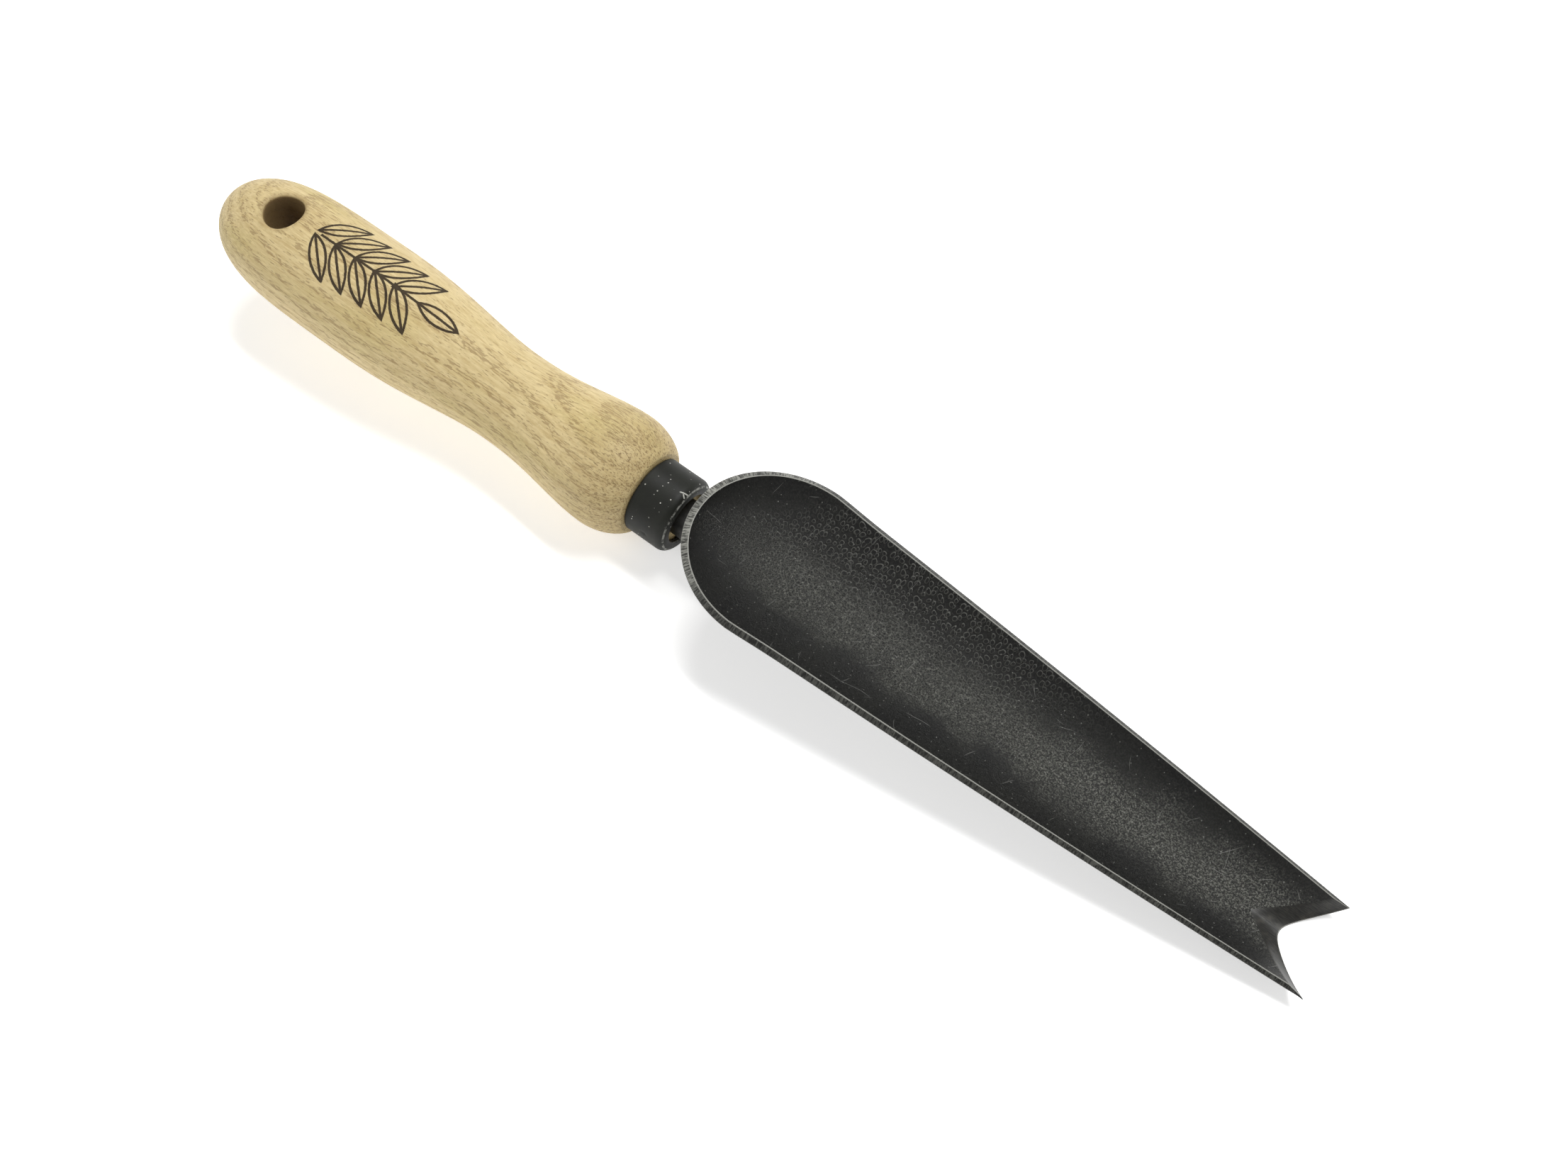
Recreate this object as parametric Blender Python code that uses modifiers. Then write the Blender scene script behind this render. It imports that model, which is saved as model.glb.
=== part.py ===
"""Hand transplanter: a narrow fishtail scoop on a short turned ash handle.

The tool is built along its handle axis: the hanging end at x = 0, the blade
towards +X, the scoop's mouth up.  At the end the whole assembly is laid on its
back on the ground, touching with the handle's lower side and the scoop's tip, and
the ground under the middle of it becomes the origin.  Units are metres.
"""

import math

import bmesh
import bpy
import numpy as np
from mathutils import Matrix

# Turned handle.  Every "_AT" is a distance from the hanging end.
HANDLE_LENGTH = 0.1434
PALM_AT = 0.049
PALM_RADIUS = 0.0162
WAIST_AT = HANDLE_LENGTH - 0.0446
WAIST_RADIUS = 0.01246
GUARD_AT = HANDLE_LENGTH - 0.0109
GUARD_RADIUS = 0.0156
NECK_RADIUS = 0.0111
DOME_POWER = 4.3        # how square the hanging end is: 2 would be an ellipse
WAIST_DELAY = 1.33      # above 1 the palm swell stays full for longer
FLARE_DELAY = 1.25      # above 1 the waist stays slim for longer
SHOULDER_POWER = 0.75   # 0.5 would round the front shoulder as an ellipse

# Hanging hole, bored from top to bottom, with both mouths countersunk.
HANG_HOLE_AT = 0.0234
HANG_HOLE_RADIUS = 0.0053
HANG_HOLE_CHAMFER = 0.0014

# Forged tang: a spike in the wood, a neck, and a tongue under the scoop.
SPIKE_LENGTH = 0.072
SPIKE_END_SIZE = 0.0036
NECK_LENGTH = 0.0043    # bare, between the ferrule and the scoop's heel
NECK_WIDTH = 0.0092
NECK_HEIGHT = 0.0068
TONGUE_WIDTH = 0.0125
TONGUE_REACH = 0.031    # how far the tongue runs on past the scoop's widest point
TONGUE_END_SIZE = 0.0024
TANG_CORNER = 0.22      # taken off the tang's corners, as a share of its half-size

# Ferrule: a drawn steel cup over the handle's tenon, with the neck through its mouth.
FERRULE_LENGTH = 0.0117
FERRULE_RADIUS = 0.0101
FERRULE_WALL = 0.0012
MOUTH_CLEARANCE = 0.00123       # round the neck's corners
FERRULE_MOUTH_RADIUS = math.hypot(NECK_WIDTH, NECK_HEIGHT) / 2 + MOUTH_CLEARANCE
FERRULE_FACE = 0.00095          # flat ring between the mouth and the rounded edge
FERRULE_EDGE = FERRULE_RADIUS - FERRULE_MOUTH_RADIUS - FERRULE_FACE

# Pressed scoop, measured over the outside of the sheet.
HEEL_REACH = 0.0251     # from the widest point back to the heel
SCOOP_AT = HANDLE_LENGTH + FERRULE_LENGTH + NECK_LENGTH + HEEL_REACH    # the widest point
RIM_HEIGHT = 0.0141     # of the rim over the handle axis, at the widest point
RIM_SLOPE = math.radians(3.3)
BLADE_REACH = 0.1457    # from the widest point forward to the two tips
SHOULDER_HALF_WIDTH = 0.0216
TIP_HALF_WIDTH = 0.01175
SHOULDER_BULGE = 0.0003
BULGE_LENGTH = 0.008
TAPER_BOW = 0.25        # 0 would make the sides straight
SHEET_AT_HEEL = 0.0020
SHEET_AT_TIP = 0.0013
SIDE_LEAN = math.radians(51)   # of the sheet at the rim, from level
HEEL_LEAN = math.radians(83)

# Fishtail: two ground edges that meet in a rounded notch.
NOTCH_DEPTH = 0.0122    # from the tips to where the straight edges would meet
NOTCH_ROUND = 0.0030
NOTCH_SKEW = 0.0009     # how far the hand-ground fishtail leads at the -Y tip
GRIND_WIDTH = 0.0042    # of the bevel at the tips
GRIND_CORNER = 0.0050   # of the bevel behind the notch
EDGE_SHARE = 0.16       # the ground edge's thickness, as a share of the sheet's

WELD_RADIUS = 0.0015
WELD_START = -0.009     # of the bead, from the widest point
FIT_GAP = 0.0003        # between pieces that touch

TURN_STEPS = 56
CUTTER_REACH = 1.5      # of the hanging hole's cutter, in palm radii


def ease(u):
    """Smooth 0..1 step: level at both ends."""
    return u * u * (3 - 2 * u)


def handle_radius(x):
    """Radius of the turned handle at a distance x from its hanging end."""
    x = np.asarray(x, float)
    dome = PALM_RADIUS * np.sqrt(1 - (1 - np.clip(x / PALM_AT, 0, 1)) ** DOME_POWER)
    fall = np.clip((x - PALM_AT) / (WAIST_AT - PALM_AT), 0, 1) ** WAIST_DELAY
    belly = PALM_RADIUS + (WAIST_RADIUS - PALM_RADIUS) * ease(fall)
    rise = np.clip((x - WAIST_AT) / (GUARD_AT - WAIST_AT), 0, 1) ** FLARE_DELAY
    flare = WAIST_RADIUS + (GUARD_RADIUS - WAIST_RADIUS) * ease(rise)
    turn = np.clip((x - GUARD_AT) / (HANDLE_LENGTH - GUARD_AT), 0, 1)
    shoulder = NECK_RADIUS + (GUARD_RADIUS - NECK_RADIUS) * (1 - turn**2) ** SHOULDER_POWER
    stretch = [x < PALM_AT, x < WAIST_AT, x < GUARD_AT]
    return np.select(stretch, [dome, belly, flare], shoulder)


def gauge(x):
    """Thickness of the sheet at x from the scoop's widest point."""
    return SHEET_AT_HEEL + (SHEET_AT_TIP - SHEET_AT_HEEL) * np.clip(x / BLADE_REACH, 0, 1)


def half_width(x):
    """Outer half-width of the scoop at x forward of its widest point."""
    u = np.clip(x / BLADE_REACH, 0, 1)
    taper = (1 - TAPER_BOW) * u + TAPER_BOW * u**2
    bulge = SHOULDER_BULGE * np.exp(-((x / BULGE_LENGTH) ** 2))
    return SHOULDER_HALF_WIDTH - (SHOULDER_HALF_WIDTH - TIP_HALF_WIDTH) * taper + bulge


def scoop_depth(x):
    """Depth of the scoop's underside below the rim, along the middle."""
    inside = half_width(x) - gauge(x) * math.sin(SIDE_LEAN)
    return inside * math.tan(SIDE_LEAN / 2) + gauge(x)


def underside(x, y):
    """Height of the scoop's outside over its rim plane.

    Ahead of the widest point each cross-section is an arc.  Behind it the same arc
    is carried round the heel along rays from the widest point, and it steepens
    from SIDE_LEAN at the sides to HEEL_LEAN at the back.
    """
    ahead = np.maximum(x, 0)
    behind = np.minimum(x, 0) / HEEL_REACH
    across = y / half_width(ahead)
    share = np.clip(np.hypot(behind, across), 0, 1)
    back = behind**2 / np.maximum(share, 1e-9) ** 2
    lean = SIDE_LEAN + (HEEL_LEAN - SIDE_LEAN) * back
    drop = (np.sqrt(1 - (share * np.sin(lean)) ** 2) - np.cos(lean)) / (1 - np.cos(lean))
    rim = -gauge(ahead) * np.cos(lean)
    return rim - (scoop_depth(ahead) + rim) * drop


def notch_edge(y):
    """Distance of the ground edge from the scoop's widest point, at y from the middle."""
    slope = NOTCH_DEPTH / TIP_HALF_WIDTH
    curve = np.hypot(slope * y, NOTCH_ROUND) - math.hypot(NOTCH_DEPTH, NOTCH_ROUND)
    return BLADE_REACH + curve - NOTCH_SKEW * y / TIP_HALF_WIDTH


def grind_edge(y):
    """Distance of the bevel's upper border, which runs to a sharp corner in the middle."""
    corner = BLADE_REACH - NOTCH_DEPTH - GRIND_CORNER
    rise = (BLADE_REACH - GRIND_WIDTH - corner) * np.abs(y) - NOTCH_SKEW * y
    return corner + rise / TIP_HALF_WIDTH


def clear_scene():
    for obj in list(bpy.data.objects):
        bpy.data.objects.remove(obj, do_unlink=True)


def new_collection(name):
    collection = bpy.data.collections.new(name)
    bpy.context.scene.collection.children.link(collection)
    return collection


def new_material(name, colour, roughness, metallic):
    material = bpy.data.materials.new(name)
    material.use_nodes = True
    shader = material.node_tree.nodes["Principled BSDF"]
    shader.inputs["Base Color"].default_value = (*colour, 1)
    shader.inputs["Roughness"].default_value = roughness
    shader.inputs["Metallic"].default_value = metallic
    material.diffuse_color = (*colour, 1)
    return material


def new_object(name, mesh, collection, material=None):
    obj = bpy.data.objects.new(name, mesh)
    collection.objects.link(obj)
    if material:
        mesh.materials.append(material)
    return obj


def along_handle(obj):
    """Turns an object made round the Z axis onto the handle axis, +Z towards the blade."""
    obj.rotation_euler = (0, math.radians(90), 0)
    return obj


def turned(name, profile, collection, material=None):
    """A turned piece: its (radius, height) profile runs down the outside, top to bottom."""
    mesh = bpy.data.meshes.new(name)
    points = [(radius, 0, height) for radius, height in profile]
    edges = [(i, i + 1) for i in range(len(points) - 1)]
    if profile[0][0] > 0:
        edges.append((len(points) - 1, 0))
    mesh.from_pydata(points, edges, [])
    obj = new_object(name, mesh, collection, material)
    screw = obj.modifiers.new("turn", "SCREW")
    screw.steps = screw.render_steps = TURN_STEPS
    screw.use_merge_vertices = True
    screw.merge_threshold = 0.00001
    screw.use_smooth_shade = True
    return obj


def loft(name, sections, collection, material=None):
    """A closed skin through sections that all have the same number of points."""
    shape = bmesh.new()
    rings = [[shape.verts.new(point) for point in section] for section in sections]
    for first, second in zip(rings, rings[1:]):
        for i in range(len(first)):
            j = (i + 1) % len(first)
            shape.faces.new((first[i], first[j], second[j], second[i]))
    shape.faces.new(rings[0][::-1])
    shape.faces.new(rings[-1])
    bmesh.ops.recalc_face_normals(shape, faces=shape.faces)
    mesh = bpy.data.meshes.new(name)
    shape.to_mesh(mesh)
    shape.free()
    return new_object(name, mesh, collection, material)


def as_cutter(obj):
    obj.hide_render = True
    obj.display_type = "WIRE"
    return obj


def cut(obj, cutter):
    boolean = obj.modifiers.new(cutter.name, "BOOLEAN")
    boolean.operation = "DIFFERENCE"
    boolean.object = cutter


def bar_section(x, middle, width, height, growth=0.0):
    """A rectangle across the handle axis with its corners taken off, grown all round."""
    half_y = width / 2 + growth
    half_z = height / 2 + growth
    corner = TANG_CORNER * min(half_y, half_z)
    outline = []
    for sign_y, sign_z in ((1, 1), (-1, 1), (-1, -1), (1, -1)):
        ends = [(sign_y * half_y, sign_z * (half_z - corner)),
                (sign_y * (half_y - corner), sign_z * half_z)]
        outline += ends if sign_y * sign_z > 0 else ends[::-1]
    return [(x, y, middle + z) for y, z in outline]


def make_handle(collection, cutters, wood):
    """Ash handle with a tenon for the ferrule, a mortise for the spike and a hanging hole."""
    tenon_radius = FERRULE_RADIUS - FERRULE_WALL - FIT_GAP
    tenon_end = HANDLE_LENGTH + FERRULE_LENGTH - FERRULE_WALL - FIT_GAP
    bend = np.linspace(0, math.pi / 2, 14)
    dome = PALM_AT * (1 - np.cos(bend))
    body = np.linspace(PALM_AT, GUARD_AT, 20)[1:-1]
    shoulder = GUARD_AT + (HANDLE_LENGTH - GUARD_AT) * np.sin(np.linspace(0, math.pi / 2, 8))
    stations = np.concatenate([dome, body, shoulder])[::-1]
    profile = [(0, tenon_end), (tenon_radius, tenon_end), (tenon_radius, HANDLE_LENGTH)]
    profile += list(zip(handle_radius(stations).tolist(), stations.tolist()))
    handle = along_handle(turned("handle", profile, collection, wood))

    surface = float(handle_radius(HANG_HOLE_AT))
    reach = CUTTER_REACH * PALM_RADIUS
    flare = reach - surface + HANG_HOLE_CHAMFER
    hole = [(0, reach), (HANG_HOLE_RADIUS + flare, reach)]
    hole += [(HANG_HOLE_RADIUS, side * (surface - HANG_HOLE_CHAMFER)) for side in (1, -1)]
    hole += [(HANG_HOLE_RADIUS + flare, -reach), (0, -reach)]
    hang_cutter = as_cutter(turned("hang_hole_cutter", hole, cutters))
    hang_cutter.location.x = HANG_HOLE_AT
    cut(handle, hang_cutter)

    mortise = [spike_section(0, FIT_GAP), spike_section(1, FIT_GAP)]
    cut(handle, as_cutter(loft("mortise_cutter", mortise, cutters)))
    return handle


def spike_section(share, growth=0.0):
    """Section of the tang's spike: share 0 is its end in the wood, 1 the tenon's face."""
    start = HANDLE_LENGTH + FERRULE_LENGTH - SPIKE_LENGTH - growth
    end = HANDLE_LENGTH + FERRULE_LENGTH + growth
    width = SPIKE_END_SIZE + (NECK_WIDTH - SPIKE_END_SIZE) * share
    height = SPIKE_END_SIZE + (NECK_HEIGHT - SPIKE_END_SIZE) * share
    return bar_section(start + (end - start) * share, 0, width, height, growth)


def make_ferrule(collection, steel):
    """Drawn cup: straight wall, rounded front edge and a flat front with a round mouth."""
    inner = FERRULE_RADIUS - FERRULE_WALL
    start = HANDLE_LENGTH + FIT_GAP
    front = HANDLE_LENGTH + FERRULE_LENGTH
    bend = np.linspace(0, math.pi / 2, 7)
    centre = FERRULE_RADIUS - FERRULE_EDGE
    profile = [(FERRULE_MOUTH_RADIUS, front)]
    profile += [(centre + FERRULE_EDGE * math.sin(a), front - FERRULE_EDGE * (1 - math.cos(a)))
                for a in bend]
    profile += [(FERRULE_RADIUS, start), (inner, start), (inner, front - FERRULE_WALL),
                (FERRULE_MOUTH_RADIUS, front - FERRULE_WALL)]
    return along_handle(turned("ferrule", profile, collection, steel))


def tool_height(x, y):
    """Height over the handle axis of the scoop's underside, x from its widest point."""
    return RIM_HEIGHT + underside(x, y) * math.cos(RIM_SLOPE) - x * math.sin(RIM_SLOPE)


def tongue_section(reach):
    """Section of the tongue at a distance from the scoop's widest point."""
    share = (reach + HEEL_REACH) / (TONGUE_REACH + HEEL_REACH)
    lowest_sheet = float(np.min(tool_height(np.linspace(reach - 0.004, reach, 5), 0.0)))
    top = min(NECK_HEIGHT / 2, lowest_sheet - FIT_GAP)
    bottom = -NECK_HEIGHT / 2 + (top - TONGUE_END_SIZE + NECK_HEIGHT / 2) * share**3
    spread = np.clip((reach + HEEL_REACH) / (WELD_START + HEEL_REACH), 0, 1)
    width = NECK_WIDTH + (TONGUE_WIDTH - NECK_WIDTH) * ease(spread)
    return bar_section(SCOOP_AT + reach, (top + bottom) / 2, width, top - bottom)


def make_tang(collection, steel):
    """Forged tang: tapered spike, straight neck, and a tongue that hugs the scoop."""
    sections = [spike_section(0), spike_section(1)]
    neck_end = SCOOP_AT - HEEL_REACH
    sections.append(bar_section(neck_end, 0, NECK_WIDTH, NECK_HEIGHT))
    straight = TONGUE_REACH - TONGUE_WIDTH / 2
    sections += [tongue_section(reach) for reach in np.linspace(-HEEL_REACH * 0.8, straight, 12)]
    for angle in np.radians((30, 50, 68)):
        section = tongue_section(straight + TONGUE_WIDTH / 2 * math.sin(angle))
        sections.append([(x, y * math.cos(angle), z) for x, y, z in section])
    return loft("tang", sections, collection, steel)


def half_columns():
    """Plan positions of the scoop's half-sections, each from the middle out to the rim.

    They run from one tip back along its side, round the heel and forward along the
    other side, so that their outer ends trace the rim.
    """
    lean = np.linspace(0, 1, 10) * SIDE_LEAN
    share = np.sin(lean) / math.sin(SIDE_LEAN)
    turn = np.linspace(0, math.pi, 27)[1:-1, None]
    heel_x = -HEEL_REACH * np.sin(turn) * share
    heel_y = half_width(0.0) * -np.cos(turn) * share
    right_x, right_y = side_columns(share, -1)
    left_x, left_y = side_columns(share, 1)
    x = np.vstack([right_x[::-1], heel_x, left_x])
    y = np.vstack([right_y[::-1], heel_y, left_y])
    return x, y


def side_columns(share, side):
    """Half-sections of one side (-1 or 1) from the widest point to the notch.

    They start square to the tool and turn gradually until they lie along the bevel.
    """
    behind = 0.27 * (1 - np.cos(np.linspace(0, 1.3, 8)))
    ahead = np.linspace(0.24, 1, 16)
    rows = [settle(lambda y, row=row: row * grind_edge(y), share, side)
            for row in np.concatenate([behind, ahead])]
    rows += [settle(lambda y, blend=blend: grind_edge(y)
                    + blend * (notch_edge(y) - grind_edge(y)), share, side)
             for blend in (0.35, 0.7, 1.0)]
    x, y = zip(*rows)
    return np.array(x), np.array(y)


def settle(place, share, side):
    """x and y of a row that lies at place(y) and spreads to share of the width there."""
    y = side * share * TIP_HALF_WIDTH
    for _ in range(12):
        x = place(y)
        y = side * share * half_width(x)
    return x, y


def make_blade(collection, steel):
    """Pressed scoop: the outside of the sheet as a grid, thickened inwards."""
    x, y = half_columns()
    z = underside(x, y)
    columns, rows = x.shape
    index = np.arange(columns * rows).reshape(columns, rows)
    quads = np.stack([index[:-1, :-1], index[1:, :-1], index[1:, 1:], index[:-1, 1:]], axis=-1)
    mesh = bpy.data.meshes.new("blade")
    points = np.stack([x, y, z], axis=-1).reshape(-1, 3)
    mesh.from_pydata(points.tolist(), [], quads.reshape(-1, 4).tolist())
    shape = bmesh.new()
    shape.from_mesh(mesh)
    bmesh.ops.remove_doubles(shape, verts=shape.verts, dist=0.000005)
    bmesh.ops.recalc_face_normals(shape, faces=shape.faces)
    if sum(face.normal.z for face in shape.faces) > 0:
        bmesh.ops.reverse_faces(shape, faces=shape.faces)
    shape.to_mesh(mesh)
    shape.free()
    blade = new_object("blade", mesh, collection, steel)
    blade.location = (SCOOP_AT, 0, RIM_HEIGHT)
    blade.rotation_euler = (0, RIM_SLOPE, 0)

    thickness = blade.vertex_groups.new(name="thickness")
    for vertex in mesh.vertices:
        ground = notch_edge(vertex.co.y) - grind_edge(vertex.co.y)
        back = (notch_edge(vertex.co.y) - vertex.co.x) / ground
        share = EDGE_SHARE + (1 - EDGE_SHARE) * float(np.clip(back, 0, 1))
        weight = share * float(gauge(vertex.co.x)) / SHEET_AT_HEEL
        thickness.add([vertex.index], weight, "REPLACE")
    sheet = blade.modifiers.new("sheet", "SOLIDIFY")
    sheet.thickness = SHEET_AT_HEEL
    sheet.offset = -1
    sheet.vertex_group = thickness.name
    mesh.shade_smooth()
    mesh.set_sharp_from_angle(angle=math.radians(40))
    return blade


def make_weld(collection, steel):
    """Weld bead: a round fillet along both sides of the tongue and across its end."""
    side = TONGUE_WIDTH / 2 + FIT_GAP + WELD_RADIUS
    corner = TONGUE_REACH - TONGUE_WIDTH / 2
    run = np.linspace(WELD_START, corner, 9)[:-1]
    turn = np.linspace(-math.pi / 2, math.pi / 2, 13)
    x = np.concatenate([run, corner + side * np.cos(turn), run[::-1]])
    y = np.concatenate([np.full(8, -side), side * np.sin(turn), np.full(8, side)])
    slope = np.abs(y) / half_width(np.maximum(x, 0)) * math.sin(SIDE_LEAN)
    z = tool_height(x, y) - (WELD_RADIUS + FIT_GAP) / np.sqrt(1 - slope**2)
    curve = bpy.data.curves.new("weld_bead", "CURVE")
    curve.dimensions = "3D"
    curve.bevel_depth = WELD_RADIUS
    curve.bevel_resolution = 2
    curve.use_fill_caps = True
    spline = curve.splines.new("POLY")
    spline.points.add(len(x) - 1)
    for point, place in zip(spline.points, zip(x + SCOOP_AT, y, z)):
        point.co = (*place, 1)
    return new_object("weld_bead", curve, collection, steel)


def world_points(objects):
    """Corner points of the finished pieces, as they stand in the world."""
    bpy.context.view_layer.update()
    graph = bpy.context.evaluated_depsgraph_get()
    points = []
    for obj in objects:
        shape = obj.evaluated_get(graph)
        mesh = shape.to_mesh()
        points += [tuple(obj.matrix_world @ vertex.co) for vertex in mesh.vertices]
        shape.to_mesh_clear()
    return np.array(points)


def lay_on_ground(frame, handle, blade, pieces):
    """Tips the tool about Y until handle and scoop rest level, and centres it on the origin."""
    handle_points = world_points([handle])
    blade_points = world_points([blade])
    tilt = 0.0
    for _ in range(20):
        turn = np.array(Matrix.Rotation(tilt, 3, "Y"))
        rear = min((handle_points @ turn.T).tolist(), key=lambda point: point[2])
        front = min((blade_points @ turn.T).tolist(), key=lambda point: point[2])
        tilt += math.atan2(front[2] - rear[2], front[0] - rear[0])
    frame.rotation_euler.y = tilt
    points = world_points(pieces)
    low, high = points.min(axis=0), points.max(axis=0)
    frame.location = (-(low[0] + high[0]) / 2, -(low[1] + high[1]) / 2, -low[2])


def main():
    clear_scene()
    parts = new_collection("hand_transplanter")
    cutters = new_collection("cutters")
    ash = new_material("oiled_ash", (0.62, 0.47, 0.27), 0.55, 0.0)
    drawn_steel = new_material("blackened_drawn_steel", (0.03, 0.032, 0.029), 0.42, 0.8)
    forged_steel = new_material("blackened_forged_steel", (0.022, 0.022, 0.02), 0.4, 0.85)
    weld_steel = new_material("weld_steel", (0.05, 0.05, 0.048), 0.5, 0.9)

    handle = make_handle(parts, cutters, ash)
    ferrule = make_ferrule(parts, drawn_steel)
    tang = make_tang(parts, forged_steel)
    blade = make_blade(parts, forged_steel)
    weld = make_weld(parts, weld_steel)

    frame = bpy.data.objects.new("transplanter_frame", None)
    parts.objects.link(frame)
    for obj in list(parts.objects) + list(cutters.objects):
        if obj is not frame:
            obj.parent = frame
    lay_on_ground(frame, handle, blade, [handle, ferrule, tang, blade, weld])


main()
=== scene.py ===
# %% [markdown]
# # Hand transplanter: surfaces and finishes
#
# A hand transplanter is a trowel with a long, narrow scoop.  This one is four
# pieces of craft: a turned ash grip, a drawn steel ferrule, a forged tang and a
# pressed scoop whose end is ground to a fishtail.
#
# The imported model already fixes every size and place.  It is loaded first, and
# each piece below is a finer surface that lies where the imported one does.

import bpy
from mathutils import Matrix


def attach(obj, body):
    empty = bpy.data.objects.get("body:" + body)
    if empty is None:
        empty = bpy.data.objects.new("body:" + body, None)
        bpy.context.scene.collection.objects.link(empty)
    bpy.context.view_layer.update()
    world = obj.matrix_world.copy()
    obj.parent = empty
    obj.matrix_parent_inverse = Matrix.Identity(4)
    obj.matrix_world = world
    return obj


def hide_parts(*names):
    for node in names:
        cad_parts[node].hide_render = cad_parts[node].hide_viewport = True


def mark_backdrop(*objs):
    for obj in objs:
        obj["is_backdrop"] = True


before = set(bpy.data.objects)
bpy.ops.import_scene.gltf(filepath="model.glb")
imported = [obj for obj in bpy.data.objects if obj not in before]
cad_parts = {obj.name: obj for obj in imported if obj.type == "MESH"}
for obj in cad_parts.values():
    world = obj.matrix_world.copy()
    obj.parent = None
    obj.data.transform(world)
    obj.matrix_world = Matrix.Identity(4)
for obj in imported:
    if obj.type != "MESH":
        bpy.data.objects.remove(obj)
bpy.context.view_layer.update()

# %% Libraries
import math

import bmesh
import bpy
import mathutils
import numpy as np

# %% [markdown]
# ## One frame for the tool, one for the ground
#
# A turned and pressed tool is easiest to describe along its own handle axis: x
# runs from the hanging end to the fishtail, z points out of the scoop's mouth.
# On the ground the tool lies tipped nose-down, because the handle is thicker
# than the tip.  So every shape is worked out in the tool's frame, and one turn
# about Y with one shift lays it down.

# %% From the tool's frame to the ground
REST_TILT = math.radians(4.5947)
HANG_END = np.array([-0.165073, 0.0, 0.026191])


def laid_down(points):
    """Tool points turned about Y by the rest tilt, then moved to the hanging end's place."""
    cosine, sine = math.cos(REST_TILT), math.sin(REST_TILT)
    turn = np.array([[cosine, 0, sine], [0, 1, 0], [-sine, 0, cosine]])
    return points @ turn.T + HANG_END


print("rest tilt, degrees:", round(math.degrees(REST_TILT), 2))

# %% [markdown]
# ## Patches, and a piece made of them
#
# A surface that is a function of two parameters is a grid of points.  A real
# piece often needs several such grids, for instance a body and the wall of a
# hole in it.  Each grid is a patch here, and a piece is its patches with their
# shared borders merged.  A patch also carries a material number and, where a
# finish must follow the surface, its own pair of UV lengths in metres.

# %% Grid helpers
MERGE_DISTANCE = 2e-6     # points of two patches this close are one point


def grid_quads(rows, columns, closed=False):
    """Four-cornered faces between neighbouring rows; closed joins the last column to the first."""
    index = np.arange(rows * columns).reshape(rows, columns)
    if closed:
        index = np.concatenate([index, index[:, :1]], axis=1)
    corners = [index[:-1, :-1], index[1:, :-1], index[1:, 1:], index[:-1, 1:]]
    return np.stack(corners, axis=-1).reshape(-1, 4)


def patch(points, closed=False, material=0, uv=None, keep=None):
    """A grid of points with its faces; keep is a mask that leaves some faces out."""
    rows, columns = points.shape[:2]
    quads = grid_quads(rows, columns, closed)
    if keep is not None:
        quads = quads[keep.reshape(-1)]
    if uv is None:
        uv = np.zeros((rows, columns, 2))
    return points.reshape(-1, 3), quads, uv.reshape(-1, 2), material


def turned_grid(profile, angles):
    """A (place, radius) profile turned about the handle axis: y = -r sin a, z = r cos a."""
    place, radius = profile[:, :1], profile[:, 1:]
    y = -radius * np.sin(angles)
    z = radius * np.cos(angles)
    return np.stack([np.broadcast_to(place, y.shape), y, z], axis=-1)


def make_piece(name, patches, materials, replaces, crease=35):
    """One object from patches: borders merged, faces turned outwards, creases kept sharp."""
    starts = np.cumsum([0] + [len(p[0]) for p in patches[:-1]])
    points = laid_down(np.vstack([p[0] for p in patches]))
    quads = np.vstack([p[1] + start for p, start in zip(patches, starts)])
    uvs = np.vstack([p[2] for p in patches])
    kinds = np.concatenate([np.full(len(p[1]), p[3]) for p in patches])
    mesh = bpy.data.meshes.new(name)
    mesh.from_pydata(points.tolist(), [], quads.tolist())
    layer = mesh.uv_layers.new(name="surface")
    layer.data.foreach_set("uv", uvs[quads.reshape(-1)].reshape(-1).astype(np.float32))
    mesh.polygons.foreach_set("material_index", kinds.astype(np.int32))
    shape = bmesh.new()
    shape.from_mesh(mesh)
    bmesh.ops.remove_doubles(shape, verts=shape.verts, dist=MERGE_DISTANCE)
    bmesh.ops.recalc_face_normals(shape, faces=shape.faces)
    open_edges = sum(not edge.is_manifold for edge in shape.edges)
    shape.to_mesh(mesh)
    shape.free()
    mesh.shade_smooth()
    mesh.set_sharp_from_angle(angle=math.radians(crease))
    obj = bpy.data.objects.new(name, mesh)
    bpy.context.scene.collection.objects.link(obj)
    for material in materials:
        mesh.materials.append(material)
    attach(obj, "root")
    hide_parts(*replaces)
    print(f"{name}: {len(mesh.vertices)} points, {len(mesh.polygons)} faces, {open_edges} open")
    return obj


def blend_step(u):
    """Smooth 0..1 step, 3u^2 - 2u^3: level at both ends."""
    return u * u * (3 - 2 * u)


# %% [markdown]
# ## A small kit for materials
#
# Finishes here are procedural: noise, cells and a little arithmetic, all read
# from the object's own coordinates.  The helpers below keep the node trees
# short to write.  One adds a node and plugs its inputs in, others do a sum, a
# product or a soft step, and the last lay one colour over another.

# %% Node helpers
def add(tree, kind, inputs=None, **settings):
    """A new node; inputs maps a socket's name or number to a value or to another socket."""
    made = tree.nodes.new("ShaderNode" + kind)
    for key, value in settings.items():
        setattr(made, key, value)
    for key, value in (inputs or {}).items():
        if isinstance(value, bpy.types.NodeSocket):
            tree.links.new(value, made.inputs[key])
        else:
            made.inputs[key].default_value = value
    return made


def sums(tree, operation, *values):
    """The result socket of one Math node."""
    return add(tree, "Math", dict(enumerate(values)), operation=operation).outputs[0]


def product(tree, first, *others):
    """All the values multiplied together."""
    for value in others:
        first = sums(tree, "MULTIPLY", first, value)
    return first


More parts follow.
